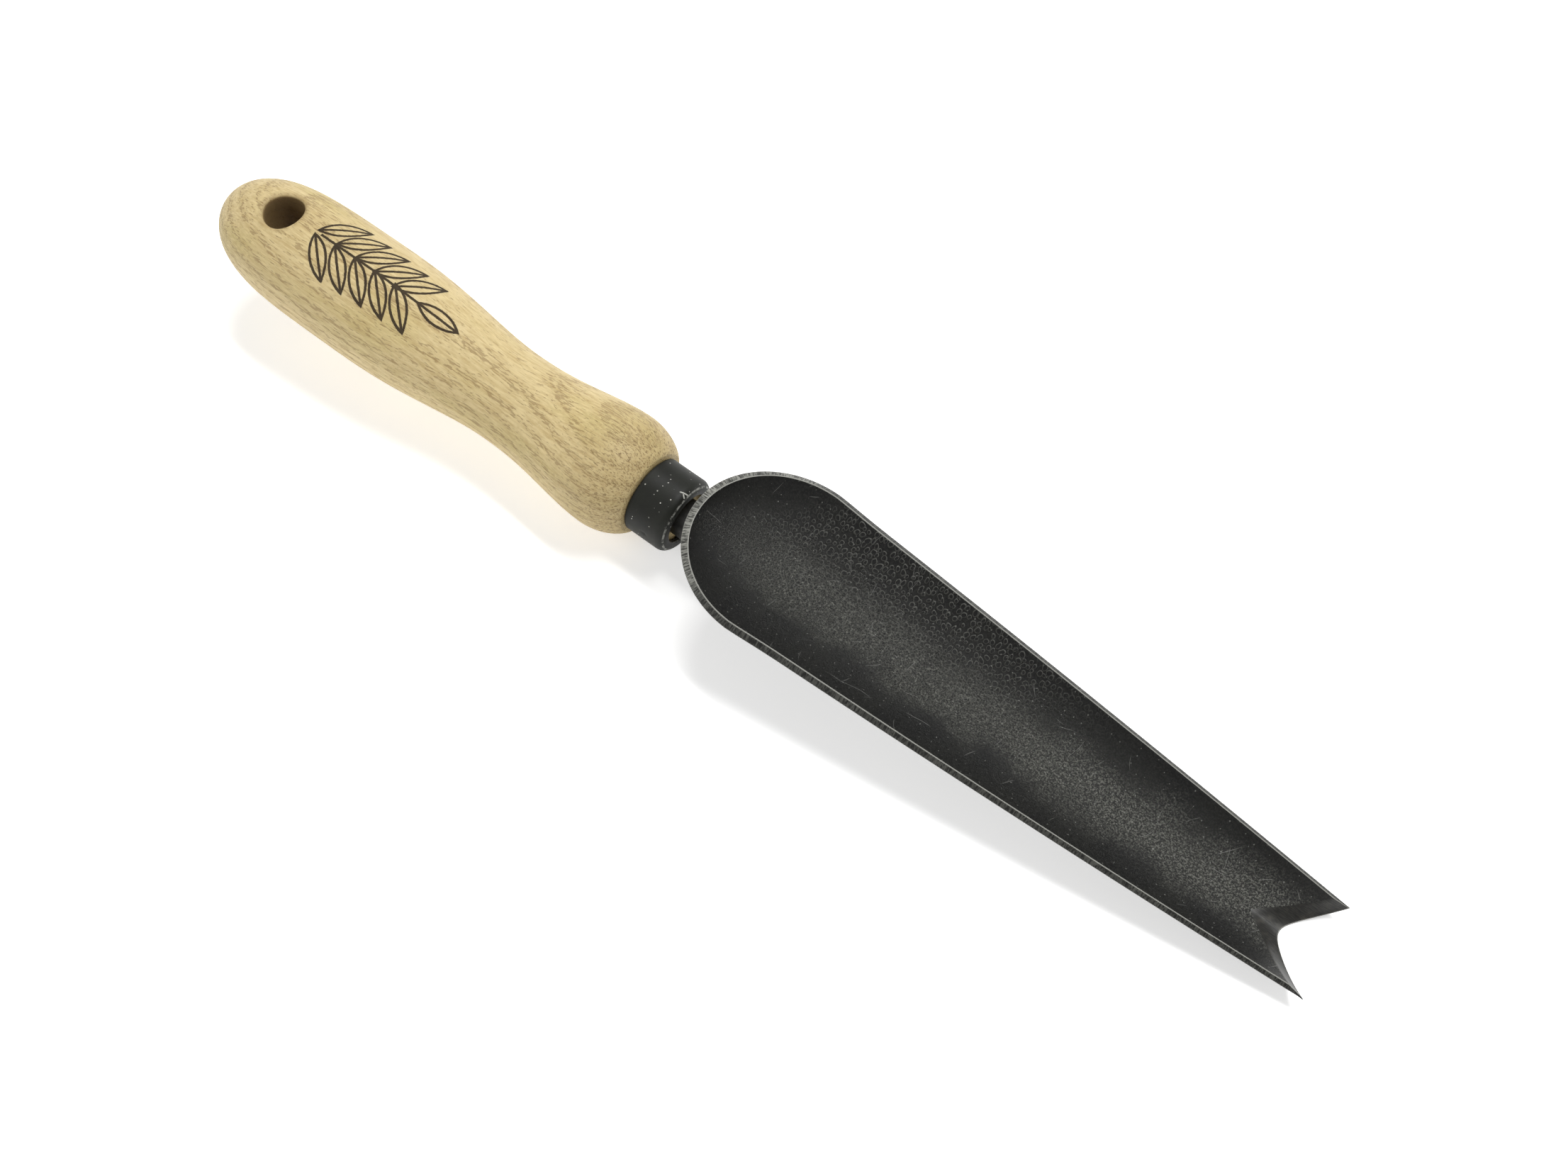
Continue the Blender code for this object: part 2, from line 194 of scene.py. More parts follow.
def ramp(tree, value, low, high):
    """A smooth step: 0 below low, 1 above high; low may be the larger, which turns it round."""
    flip = low > high
    first, last = (high, low) if flip else (low, high)
    made = add(tree, "MapRange", {"Value": value, "From Min": first, "From Max": last,
                                  "To Min": float(flip), "To Max": float(not flip)},
               interpolation_type="SMOOTHSTEP")
    return made.outputs["Result"]


def mixed(tree, share, first, second):
    """Colour first where share is 0, second where it is 1."""
    made = add(tree, "Mix", data_type="RGBA")
    for number, value in ((0, share), (6, first), (7, second)):
        if isinstance(value, bpy.types.NodeSocket):
            tree.links.new(value, made.inputs[number])
        else:
            made.inputs[number].default_value = value
    return made.outputs[2]


def painted(tree, ground, layers):
    """A ground colour with layers over it: each a share from 0 to 1, a strength, a colour."""
    colour = (*ground, 1)
    for share, strength, top in layers:
        colour = mixed(tree, product(tree, share, strength), colour, (*top, 1))
    return colour


def new_finish(name, roughness, metallic=0.0, **constants):
    """A material with an empty Principled shader, and the tool's own coordinates."""
    material = bpy.data.materials.new(name)
    material.use_nodes = True
    tree = material.node_tree
    shader = tree.nodes["Principled BSDF"]
    shader.inputs["Roughness"].default_value = roughness
    shader.inputs["Metallic"].default_value = metallic
    for socket, value in constants.items():
        shader.inputs[socket.replace("_", " ")].default_value = value
    place = add(tree, "TexCoord").outputs["Object"]
    tool = add(tree, "Mapping", {"Vector": place, "Location": HANG_END,
                                 "Rotation": (0, REST_TILT, 0)}, vector_type="TEXTURE")
    return material, tree, shader, tool.outputs["Vector"]


def stretched(tree, vector, scale, offset=(0, 0, 0)):
    """The same place measured with a different scale along each axis."""
    return add(tree, "Mapping", {"Vector": vector, "Scale": scale,
                                 "Location": offset}).outputs["Vector"]


def noise(tree, vector, scale, detail=3.0, roughness=0.55):
    """Fractal noise around 0.5."""
    made = add(tree, "TexNoise", {"Vector": vector, "Scale": scale, "Detail": detail,
                                  "Roughness": roughness})
    return made.outputs["Fac"]


def bumped(tree, shader, height, strength, distance, below=None):
    """A bump of the given distance in metres; below is a bump that it lies on."""
    made = add(tree, "Bump", {"Height": height, "Strength": strength, "Distance": distance})
    if below is not None:
        tree.links.new(below, made.inputs["Normal"])
    tree.links.new(made.outputs["Normal"], shader.inputs["Normal"])
    return made.outputs["Normal"]


print("material kit ready")

# %% [markdown]
# ## The ash grip
#
# The grip is turned on a lathe, so its shape is one curve: the radius at each
# distance from the hanging end.  It swells for the palm, slims for the fingers
# and flares again as a guard in front of the ferrule.  The curve is joined from
# four stretches with level tangents, the way a turner rolls one bead into the
# next.

# %% The grip's curve
HANDLE_LENGTH = 0.1434
PALM_AT, PALM_RADIUS = 0.049, 0.0162
WAIST_AT, WAIST_RADIUS = HANDLE_LENGTH - 0.0446, 0.01246
GUARD_AT, GUARD_RADIUS = HANDLE_LENGTH - 0.0109, 0.0156
NECK_RADIUS = 0.0111
DOME_POWER, FALL_EASE, RISE_EASE, SHOULDER_POWER = 4.3, 1.33, 1.25, 0.75


def grip_radius(x):
    """Radius at x: a blunt dome, a fall to the waist, a rise to the guard, a round shoulder.

    dome = R (1 - (1 - x/p)^DOME_POWER)^(1/2); the fall and the rise are smooth steps
    whose run is eased to stay full, or slim, for longer; the shoulder drops as
    (1 - t^2)^SHOULDER_POWER from the guard to the neck.
    """
    x = np.asarray(x, float)
    dome = PALM_RADIUS * np.sqrt(1 - (1 - np.clip(x / PALM_AT, 0, 1)) ** DOME_POWER)
    fall = np.clip((x - PALM_AT) / (WAIST_AT - PALM_AT), 0, 1) ** FALL_EASE
    belly = PALM_RADIUS + (WAIST_RADIUS - PALM_RADIUS) * blend_step(fall)
    rise = np.clip((x - WAIST_AT) / (GUARD_AT - WAIST_AT), 0, 1) ** RISE_EASE
    flare = WAIST_RADIUS + (GUARD_RADIUS - WAIST_RADIUS) * blend_step(rise)
    turn = np.clip((x - GUARD_AT) / (HANDLE_LENGTH - GUARD_AT), 0, 1)
    shoulder = NECK_RADIUS + (GUARD_RADIUS - NECK_RADIUS) * (1 - turn**2) ** SHOULDER_POWER
    return np.select([x < PALM_AT, x < WAIST_AT, x < GUARD_AT], [dome, belly, flare], shoulder)


print("grip radius at palm, waist, guard, mm:",
      np.round(1000 * grip_radius([PALM_AT, WAIST_AT, GUARD_AT]), 2))

# %% [markdown]
# ## The hanging hole
#
# A hole is bored straight through the grip.  A boolean cut would leave ragged
# shading on a curved surface, so the hole is drawn into the grid instead.  A
# window of faces is left out of the turned surface, above and below.  One strip
# then runs from the upper window's border in to the mouth, rolls over the
# countersunk edge, goes down the bore and comes out to the lower border.  Each
# point of the strip keeps its bearing from the bore's axis.

# %% The grip's patches
HOLE_AT, HOLE_RADIUS, HOLE_ROLL = 0.0234, 0.0053, 0.0013
WINDOW = 0.009            # half-length of the window along the grip
TURN_STEPS = 192
WINDOW_STEPS = 21         # half-width of the window, in turn steps
END_ROWS, WINDOW_ROWS, BODY_ROWS = 26, 25, 88
BORDER_RINGS, ROLL_RINGS, BORE_RINGS = 14, 9, 15
TENON_LENGTH, TENON_RADIUS, TENON_EDGE = 0.0100, 0.0087, 0.0004


def grip_stations():
    """Distances from the hanging end, and the window's first and last row.

    The rows are dense on the dome and the shoulder.
    """
    first, last = HOLE_AT - WINDOW, HOLE_AT + WINDOW
    quarter = np.linspace(0, math.pi / 2, END_ROWS)
    dome = first * (1 - np.cos(quarter))
    window = np.linspace(first, last, WINDOW_ROWS)[1:]
    body = np.linspace(last, GUARD_AT, BODY_ROWS)[1:]
    shoulder = GUARD_AT + (HANDLE_LENGTH - GUARD_AT) * np.sin(quarter)[1:]
    stations = np.concatenate([dome, window, body, shoulder])
    return stations, END_ROWS - 1, END_ROWS + WINDOW_ROWS - 2


def hole_strip(border):
    """Rings from the upper border, through the bore, to the lower border.

    Plan: each ring is a blend between the border and the mouth circle on the same
    bearing.  Height: the turned surface, sqrt(r(x)^2 - y^2), less a quarter-round
    at the mouth; down the bore it shrinks evenly to zero at the middle.
    """
    centre = np.array([HOLE_AT, 0.0])
    bearing = border - centre
    bearing = bearing / np.linalg.norm(bearing, axis=1)[:, None]

    def height(plan):
        return np.sqrt(grip_radius(plan[:, 0]) ** 2 - plan[:, 1] ** 2)

    mouth = centre + (HOLE_RADIUS + HOLE_ROLL) * bearing
    rings = [(mouth + f * (border - mouth), 0.0) for f in np.linspace(1, 0, BORDER_RINGS)]
    rings += [(centre + (HOLE_RADIUS + HOLE_ROLL * (1 - math.sin(a))) * bearing,
               HOLE_ROLL * (1 - math.cos(a))) for a in np.linspace(0, math.pi / 2, ROLL_RINGS)[1:]]
    upper = [np.column_stack([plan, height(plan) - drop]) for plan, drop in rings]
    wall = upper[-1]
    half = upper + [wall * [1, 1, f] for f in np.linspace(1, 0, BORE_RINGS)[1:-1]]
    lower = [ring * [1, 1, -1] for ring in half[::-1]]
    return np.stack(half + [wall * [1, 1, 0]] + lower)


def grip_patches():
    """The turned surface with two windows, the hole's strip, and the tenon."""
    stations, first, last = grip_stations()
    angles = np.linspace(0, 2 * math.pi, TURN_STEPS, endpoint=False)
    profile = np.column_stack([stations, grip_radius(stations)])
    skin = turned_grid(profile, angles)
    keep = np.ones((len(stations) - 1, TURN_STEPS), bool)
    beside = (np.arange(TURN_STEPS) + WINDOW_STEPS) % (TURN_STEPS // 2) < 2 * WINDOW_STEPS
    keep[first:last, beside] = False

    along = np.arange(first, last)
    across = np.arange(-WINDOW_STEPS, WINDOW_STEPS)
    loop = [(i, WINDOW_STEPS) for i in along] + [(last, -j) for j in across]
    loop += [(last + first - i, -WINDOW_STEPS) for i in along] + [(first, j) for j in across]
    rows, columns = np.array(loop).T
    border = skin[rows, columns % TURN_STEPS][:, :2]
    strip = np.swapaxes(hole_strip(border), 0, 1)
    strip = np.concatenate([strip, strip[:1]])

    # The tenon: a step down at the guard, a broken edge, and a slightly hollow end.
    end = HANDLE_LENGTH + TENON_LENGTH
    tenon = np.array([[HANDLE_LENGTH, NECK_RADIUS], [HANDLE_LENGTH + 0.0001, TENON_RADIUS],
                      [end - TENON_EDGE, TENON_RADIUS], [end, TENON_RADIUS - TENON_EDGE],
                      [end - 0.0002, 0.0060], [end - 0.0006, 0.0030], [end - 0.0007, 0.0]])
    return [patch(skin, closed=True, keep=keep), patch(strip),
            patch(turned_grid(tenon, angles), closed=True)]


print("grip patches:", [p[0].shape[0] for p in grip_patches()])

# %% [markdown]
# ## Ash, and how it shows
#
# Ash is a pale wood with strong year rings.  Early in each year it grows a band
# of wide pores, which show as short dark dashes along the grain; the late wood
# is smooth and a little greyer.  The rings are cylinders round a pith that lies
# outside the grip, slightly askew.  Where the turned surface runs along a
# cylinder the ring shows as a long flame; on the flanks it shows as close
# stripes.  So the ring number is simply the distance from a slanted pith line,
# wobbled by noise.

# %% Ash finish
RING = 0.0030             # width of a year's growth
PITH_AT = (0, 0.013, 0.0285)
PITH_LEAN = (0, math.radians(-3.2), math.radians(2.0))
WOBBLE = 0.0034
SPRIG_AT, LEAF_STEP, LEAF_PAIRS, LEAF_LEAN = 0.0405, 0.0066, 5, 42
LEAF_HALF_LENGTH, LEAF_HALF_WIDTH = 0.0064, 0.0021
END_LEAF_AT, STEM_AT, STEM_HALF_LENGTH = 0.0765, 0.0545, 0.0170
LINE_HALF_WIDTH, LINE_UNEVEN, LINE_SOFT = 0.00021, 0.00024, 0.00007


def ring_number(tree, tool):
    """Distance from the slanted pith line, in years, with a slow wobble."""
    grown = add(tree, "Mapping", {"Vector": tool, "Location": PITH_AT,
                                  "Rotation": PITH_LEAN})
    parts = add(tree, "SeparateXYZ", {"Vector": grown.outputs["Vector"]})
    y, z = parts.outputs["Y"], parts.outputs["Z"]
    across = sums(tree, "SQRT", sums(tree, "ADD", product(tree, y, y), product(tree, z, z)))
    wobble = noise(tree, stretched(tree, tool, (22, 95, 95)), 1.0, 2.0)
    slow = product(tree, sums(tree, "SUBTRACT", wobble, 0.5), WOBBLE)
    return sums(tree, "DIVIDE", sums(tree, "ADD", across, slow), RING)


def leaf_mark(tree, tool):
    """A burnt leaf sprig: a stem and pairs of pointed leaves, each where two discs overlap.

    Returns 1 on the drawn lines.  A leaf's outline is where the larger of its
    distances from the two disc centres equals the disc radius.
    """
    parts = add(tree, "SeparateXYZ", {"Vector": tool})
    x, y, z = parts.outputs
    flat = add(tree, "CombineXYZ", {"X": x, "Y": y}).outputs["Vector"]
    lines = None
    disc = (LEAF_HALF_LENGTH**2 + LEAF_HALF_WIDTH**2) / (2 * LEAF_HALF_WIDTH)
    leaves = [(SPRIG_AT + LEAF_STEP * i, side * (0.0050 - 0.0003 * i), side * LEAF_LEAN)
              for i in range(LEAF_PAIRS) for side in (-1, 1)]
    leaves.append((END_LEAF_AT, 0.0, 0))
    for at_x, at_y, lean in leaves:
        own = add(tree, "Mapping", {"Vector": flat, "Location": (at_x, at_y, 0),
                                    "Rotation": (0, 0, math.radians(lean))},
                  vector_type="TEXTURE").outputs["Vector"]
        far = [add(tree, "VectorMath", {0: own, 1: (0, side * (disc - LEAF_HALF_WIDTH), 0)},
                   operation="DISTANCE").outputs["Value"] for side in (-1, 1)]
        outside = sums(tree, "SUBTRACT", sums(tree, "MAXIMUM", *far), disc)
        vein_y = sums(tree, "ABSOLUTE", add(tree, "SeparateXYZ", {"Vector": own}).outputs["Y"])
        vein = sums(tree, "MAXIMUM", vein_y, outside)
        line = sums(tree, "MINIMUM", sums(tree, "ABSOLUTE", outside), vein)
        lines = line if lines is None else sums(tree, "MINIMUM", lines, line)
    middle = sums(tree, "ABSOLUTE", sums(tree, "SUBTRACT", x, STEM_AT))
    past_end = sums(tree, "SUBTRACT", middle, STEM_HALF_LENGTH)
    stem = sums(tree, "MAXIMUM", sums(tree, "ABSOLUTE", y), past_end)
    lines = sums(tree, "MINIMUM", lines, stem)
    on_top = ramp(tree, z, 0.002, 0.003)
    ragged = noise(tree, tool, 1500, 2.0)
    width = sums(tree, "MULTIPLY_ADD", ragged, LINE_UNEVEN, LINE_HALF_WIDTH)
    inked = ramp(tree, sums(tree, "SUBTRACT", lines, width), LINE_SOFT, -LINE_SOFT)
    return product(tree, inked, on_top)


def ash_finish():
    """Pale ash: ring bands, pore dashes, fibre, a darker hole, end grain and painted shade near
    the ferrule, a burnt sprig.
    """
    material, tree, shader, tool = new_finish("turned_ash", 0.55, Specular_IOR_Level=0.3)
    rings = ring_number(tree, tool)
    year = sums(tree, "FRACT", rings)
    early = product(tree, ramp(tree, year, 0.0, 0.10), ramp(tree, year, 0.70, 0.15))

    broad = noise(tree, stretched(tree, tool, (26, 110, 110)), 1.0, 2.0)
    fibre = noise(tree, stretched(tree, tool, (170, 1900, 1900)), 1.0, 4.0, 0.7)
    streak = noise(tree, stretched(tree, tool, (60, 900, 900), (3, 5, 7)), 1.0, 3.0, 0.6)
    pore_field = noise(tree, stretched(tree, tool, (420, 2500, 2500)), 1.0, 2.0, 0.5)
    gate = sums(tree, "MULTIPLY_ADD", early, 0.13, -0.08)
    dashes = ramp(tree, sums(tree, "ADD", pore_field, gate), 0.54, 0.61)

    parts = add(tree, "SeparateXYZ", {"Vector": tool})
    x, y = parts.outputs["X"], parts.outputs["Y"]
    # Darker towards the ferrule end: partly end grain, which also carries more pores, and partly
    # painted shade on the guard's flare.
    end_grain_and_shade = ramp(tree, x, HANDLE_LENGTH - 0.024, HANDLE_LENGTH - 0.002)
    pin_pores = noise(tree, stretched(tree, tool, (900, 2400, 2400)), 1.0, 2.0)
    pin_pores = product(tree, end_grain_and_shade, ramp(tree, pin_pores, 0.54, 0.62))
    # Darker round the hanging hole: over its rounded mouth, with a ragged border, and darker still
    # down the bore.
    from_bore = sums(tree, "SQRT", sums(tree, "ADD",
                     sums(tree, "POWER", sums(tree, "SUBTRACT", x, HOLE_AT), 2.0),
                     sums(tree, "POWER", y, 2.0)))
    mouth_noise = noise(tree, tool, 520, 3.0)
    ragged_from_bore = sums(tree, "MULTIPLY_ADD", mouth_noise, -0.0030, from_bore)
    lip = ramp(tree, ragged_from_bore, 0.0060, 0.0040)
    bore = ramp(tree, from_bore, HOLE_RADIUS + 0.00032, HOLE_RADIUS - 0.00002)

    colour = painted(tree, (0.580, 0.465, 0.245), [
        (early, 0.26, (0.430, 0.318, 0.140)),
        (ramp(tree, broad, 0.44, 0.72), 1, (0.505, 0.405, 0.180)),
        (ramp(tree, streak, 0.46, 0.72), 0.40, (0.430, 0.305, 0.125)),
        (ramp(tree, fibre, 0.46, 0.66), 0.55, (0.400, 0.280, 0.115)),
        (ramp(tree, fibre, 0.48, 0.34), 0.40, (0.700, 0.560, 0.285)),
        (dashes, 0.50, (0.215, 0.130, 0.050)),
        (end_grain_and_shade, 0.45, (0.330, 0.245, 0.110)),
        (pin_pores, 0.6, (0.130, 0.078, 0.030)),
        (lip, 0.42, (0.250, 0.165, 0.065)),
        (bore, 0.80, (0.190, 0.118, 0.050))])
    burnt = leaf_mark(tree, tool)
    char = noise(tree, tool, 900, 2.0)
    ember = mixed(tree, char, (0.006, 0.004, 0.002, 1), (0.030, 0.015, 0.007, 1))
    colour = mixed(tree, product(tree, burnt, 0.95), colour, ember)
    tree.links.new(colour, shader.inputs["Base Color"])

    rough = sums(tree, "MULTIPLY_ADD", fibre, 0.16, 0.48)
    tree.links.new(sums(tree, "MAXIMUM", rough, product(tree, burnt, 0.8)),
                   shader.inputs["Roughness"])
    relief = sums(tree, "SUBTRACT", product(tree, fibre, 0.4), product(tree, dashes, 0.8))
    relief = sums(tree, "SUBTRACT", relief, product(tree, burnt, 2.2))
    bumped(tree, shader, relief, 0.7, 0.00014)
    return material


make_piece("ash_grip", grip_patches(), [ash_finish()],
           replaces=["handle"], crease=50)

# %% [markdown]
# ## The ferrule
#
# The ferrule is a steel cup drawn over the end of the grip to keep it from
# splitting.  Its rear edge is cut square and just broken; its front is rolled
# over a generous radius to a flat face with a round mouth, and the tang comes
# out through that mouth.  Its section is therefore one closed profile, and the
# piece is that profile turned.  A small pit near the rear is where it was
# staked to the wood.

# %% The ferrule's profile
FERRULE_LENGTH, FERRULE_RADIUS, FERRULE_WALL = 0.0117, 0.0101, 0.0012
FERRULE_MOUTH, FERRULE_FACE = 0.00695, 0.00095
FERRULE_EDGE = FERRULE_RADIUS - FERRULE_MOUTH - FERRULE_FACE
FERRULE_END = HANDLE_LENGTH + FERRULE_LENGTH
FERRULE_SIDES = 256
STAKE_AT, STAKE_ANGLE = HANDLE_LENGTH + 0.0063, math.radians(83)
STAKE_SIZE, STAKE_DEPTH = 0.00042, 0.00035
BROKEN_EDGE = 0.00025
FIT_GAP = 0.0003          # between neighbouring pieces


def arc(centre, radius, start, end, steps):
    """Points of a circular arc in the profile's (place, radius) plane, angles in degrees."""
    turn = np.radians(np.linspace(start, end, steps))
    return np.column_stack([centre[0] + radius * np.sin(turn), centre[1] + radius * np.cos(turn)])


def ferrule_profile():
    """Round the section: rear edge, outside, rolled front, face, mouth, inside, rear edge."""
    rear, front = HANDLE_LENGTH + FIT_GAP, FERRULE_END
    inner = FERRULE_RADIUS - FERRULE_WALL
    edge = BROKEN_EDGE
    outside = np.column_stack([np.linspace(rear + edge, front - FERRULE_EDGE, 16),
                               np.full(16, FERRULE_RADIUS)])
    inside = np.column_stack([np.linspace(front - FERRULE_WALL, rear, 6), np.full(6, inner)])
    return np.vstack([
        arc((rear + edge, FERRULE_RADIUS - edge), edge, -90, 0, 5)[:-1], outside,
        arc((front - FERRULE_EDGE, FERRULE_RADIUS - FERRULE_EDGE), FERRULE_EDGE, 0, 90, 14)[1:],
        arc((front - edge, FERRULE_MOUTH + edge), edge, 90, 180, 5),
        [[front - FERRULE_WALL, FERRULE_MOUTH]], inside, [[rear, FERRULE_RADIUS - edge]]])


def ferrule_patches():
    """The turned profile; the stake pit in its outside is as deep as exp(-distance^2)."""
    angles = np.linspace(0, 2 * math.pi, FERRULE_SIDES, endpoint=False)
    profile = ferrule_profile()
    skin = turned_grid(profile, angles)
    along = (profile[:, :1] - STAKE_AT) / STAKE_SIZE
    round_it = FERRULE_RADIUS * (angles[None, :] - STAKE_ANGLE) / STAKE_SIZE
    outer = (profile[:, 1:] > FERRULE_RADIUS - 1e-6).astype(float)
    sink = outer * STAKE_DEPTH * np.exp(-(along**2 + round_it**2))
    skin[..., 1:] *= (1 - sink / np.maximum(profile[:, 1:], 1e-6))[..., None]
    return [patch(skin, closed=True)]


NICK_HALF_WIDTH = 0.00022
EDGE_HIGHLIGHT_HALF_WIDTH = 0.00020


def nick(tree, tool, place, turn, half_length):
    """1 on one straight scratch on the upper side: a thin bar at place, turned about Z."""
    own = add(tree, "Mapping", {"Vector": tool, "Location": (*place, 0.0),
                                "Rotation": (0, 0, math.radians(turn))}, vector_type="TEXTURE")
    parts = add(tree, "SeparateXYZ", {"Vector": own.outputs["Vector"]})
    along = sums(tree, "ABSOLUTE", parts.outputs["X"])
    aside = sums(tree, "ABSOLUTE", parts.outputs["Y"])
    return product(tree, ramp(tree, along, half_length, 0.6 * half_length),
                   ramp(tree, aside, NICK_HALF_WIDTH, 0.4 * NICK_HALF_WIDTH),
                   ramp(tree, parts.outputs["Z"], 0.0, 0.001))


def black_steel(name, roughness, colour, speck, seed=0.0, nicks=(), edge_highlight_at=None):
    """Heat-blackened steel: cloudy oxide, with pin-prick specks where it has rubbed bright.

    nicks are scratches, each a place, a turn in degrees and a half-length; edge_highlight_at is
    the place of an edge where a thin line of highlight is painted all round.
    """
    material, tree, shader, tool = new_finish(name, roughness, 0.0, Specular_IOR_Level=0.27)
    moved = stretched(tree, tool, (1, 1, 1), (seed, seed, seed))
    clouds = noise(tree, moved, 260, 4.0)
    fine = noise(tree, moved, 3400, 3.0, 0.7)
    cells = add(tree, "TexVoronoi", {"Vector": moved, "Scale": 820, "Randomness": 1.0})
    dots = ramp(tree, cells.outputs["Distance"], speck, speck * 0.5)
    some = ramp(tree, noise(tree, moved, 500, 1.0), 0.50, 0.58)
    rubbed_and_highlight = product(tree, dots, some)
    for place, turn, half_length in nicks:
        rubbed_and_highlight = sums(tree, "MAXIMUM", rubbed_and_highlight, nick(tree, tool, place, turn, half_length))
    # Painted highlight: a thin, broken bright line all round the given edge.
    if edge_highlight_at is not None:
        x = add(tree, "SeparateXYZ", {"Vector": tool}).outputs["X"]
        from_line = sums(tree, "ABSOLUTE", sums(tree, "SUBTRACT", x, edge_highlight_at))
        broken = ramp(tree, noise(tree, moved, 900, 2.0), 0.36, 0.62)
        line = product(tree, ramp(tree, from_line, EDGE_HIGHLIGHT_HALF_WIDTH, 0.00005), broken)
        rubbed_and_highlight = sums(tree, "MAXIMUM", rubbed_and_highlight, product(tree, line, 0.55))
    oxide = painted(tree, colour, [
        (ramp(tree, clouds, 0.3, 0.7), 1, 1.7 * np.array(colour)),
        (ramp(tree, fine, 0.52, 0.75), 0.5, 2.6 * np.array(colour)),
        (rubbed_and_highlight, 1, (0.42, 0.42, 0.38))])
    tree.links.new(oxide, shader.inputs["Base Color"])
    spread = sums(tree, "MULTIPLY_ADD", clouds, 0.22, roughness - 0.11)
    tree.links.new(spread, shader.inputs["Roughness"])
    relief = sums(tree, "ADD", product(tree, fine, 0.5), clouds)
    bumped(tree, shader, relief, 0.35, 0.00006)
    return material


drawn_steel = black_steel("blackened_drawn_steel", 0.56, (0.0052, 0.0057, 0.0038), 0.18,
                          nicks=[((FERRULE_END - 0.0013, 0.0009), 24, 0.0012),
                                 ((FERRULE_END - 0.0009, 0.0003), -40, 0.0006)],
                          edge_highlight_at=FERRULE_END - 0.00032)
make_piece("ferrule_cup", ferrule_patches(), [drawn_steel],
           replaces=["ferrule"])

# %% [markdown]
# ## The pressed scoop: its plan
#
# The scoop is one sheet pressed over a former.  Its plan has a round heel,
# straight tapering sides and a fishtail.  A grid that follows that outline
# everywhere gives clean edges without cutting: its columns fan from rim to rim
# like the ribs of a boat, and its rows run from the heel to the fishtail.
# Ahead of the widest point a row starts square and bends until it lies along
# the V of the bevel, so the bevel's border is a row of the grid.

# %% Scoop outline
NECK_LENGTH, HEEL_REACH, BLADE_REACH = 0.0043, 0.0251, 0.1457
SCOOP_AT = FERRULE_END + NECK_LENGTH + HEEL_REACH
RIM_HEIGHT, RIM_SLOPE = 0.0141, math.radians(3.3)
SHOULDER_HALF_WIDTH, TIP_HALF_WIDTH = 0.0216, 0.01175
SHOULDER_BULGE, BULGE_LENGTH = 0.0003, 0.008
SHEET_AT_HEEL, SHEET_AT_TIP = 0.0020, 0.0013
SIDE_LEAN, HEEL_LEAN = math.radians(51), math.radians(83)
NOTCH_DEPTH, NOTCH_ROUND, NOTCH_SKEW = 0.0122, 0.0030, 0.0009
SETTLING_ROUNDS = 14
GRIND_WIDTH, GRIND_CORNER, EDGE_SHARE = 0.0042, 0.0050, 0.16


def gauge(x):
    """Sheet thickness: it thins evenly from the heel to the tips."""
    return SHEET_AT_HEEL + (SHEET_AT_TIP - SHEET_AT_HEEL) * np.clip(x / BLADE_REACH, 0, 1)


def half_width(x):
    """Half-width: shoulder to tip with a slight bow, 3/4 u + 1/4 u^2, and a soft bulge.

    bulge = SHOULDER_BULGE exp(-(x / BULGE_LENGTH)^2)
    """
    u = np.clip(x / BLADE_REACH, 0, 1)
    bulge = SHOULDER_BULGE * np.exp(-((x / BULGE_LENGTH) ** 2))
    return SHOULDER_HALF_WIDTH - (SHOULDER_HALF_WIDTH - TIP_HALF_WIDTH) * (
        0.75 * u + 0.25 * u**2) + bulge


def notch_edge(y):
    """The ground edge: a hyperbola, which is a V with a rounded bottom, slightly skewed."""
    slope = NOTCH_DEPTH / TIP_HALF_WIDTH
    curve = np.hypot(slope * y, NOTCH_ROUND) - math.hypot(NOTCH_DEPTH, NOTCH_ROUND)
    return BLADE_REACH + curve - NOTCH_SKEW * y / TIP_HALF_WIDTH


def grind_edge(y):
    """The bevel's upper border: a plain V."""
    corner = BLADE_REACH - NOTCH_DEPTH - GRIND_CORNER
    rise = (BLADE_REACH - GRIND_WIDTH - corner) * np.abs(y) - NOTCH_SKEW * y
    return corner + rise / TIP_HALF_WIDTH


def scoop_plan(u, v, inset):
    """Plan position: u from -1 (heel) over 0 (widest) and 1 (bevel border) to 2 (edge).

    v runs from rim to rim.  inset draws the outline in by a distance along the sheet,
    so its share in plan is that times the cosine of the sheet's lean there.  Ahead of
    the widest point x depends on y and y on x, so a few rounds settle both.
    """
    across = np.sin(v * math.pi / 2)
    back = (HEEL_REACH - inset * math.cos(HEEL_LEAN)) * np.sqrt(1 - across**2)
    heel_x = back * np.sin(np.minimum(u, 0) * math.pi / 2)
    side = inset * math.cos(SIDE_LEAN)
    y = across * (TIP_HALF_WIDTH - side)
    for _ in range(SETTLING_ROUNDS):
        ground = np.clip(u - 1, 0, 1) * (notch_edge(y) - inset - grind_edge(y))
        x = np.clip(u, 0, 1) * grind_edge(y) + ground
        y = across * (half_width(x) - side)
    return heel_x + x, y


print("scoop length, mm:", round(1000 * (HEEL_REACH + BLADE_REACH), 1))

# %% [markdown]
# ## The pressed scoop: its section
#
# Every cross-section of the trough is an arc that leans 51 degrees at the rim.
# Round the heel the same arc is swung about the widest point and steepens to
# 83 degrees, so the back wall stands nearly upright.  The inside is the outside
# moved along its normal by the sheet's thickness, and in the bevel that
# thickness falls to a fine edge.

# %% Scoop surfaces
JUST_INSIDE = 0.9985
SLOPE_STEP = 2e-5


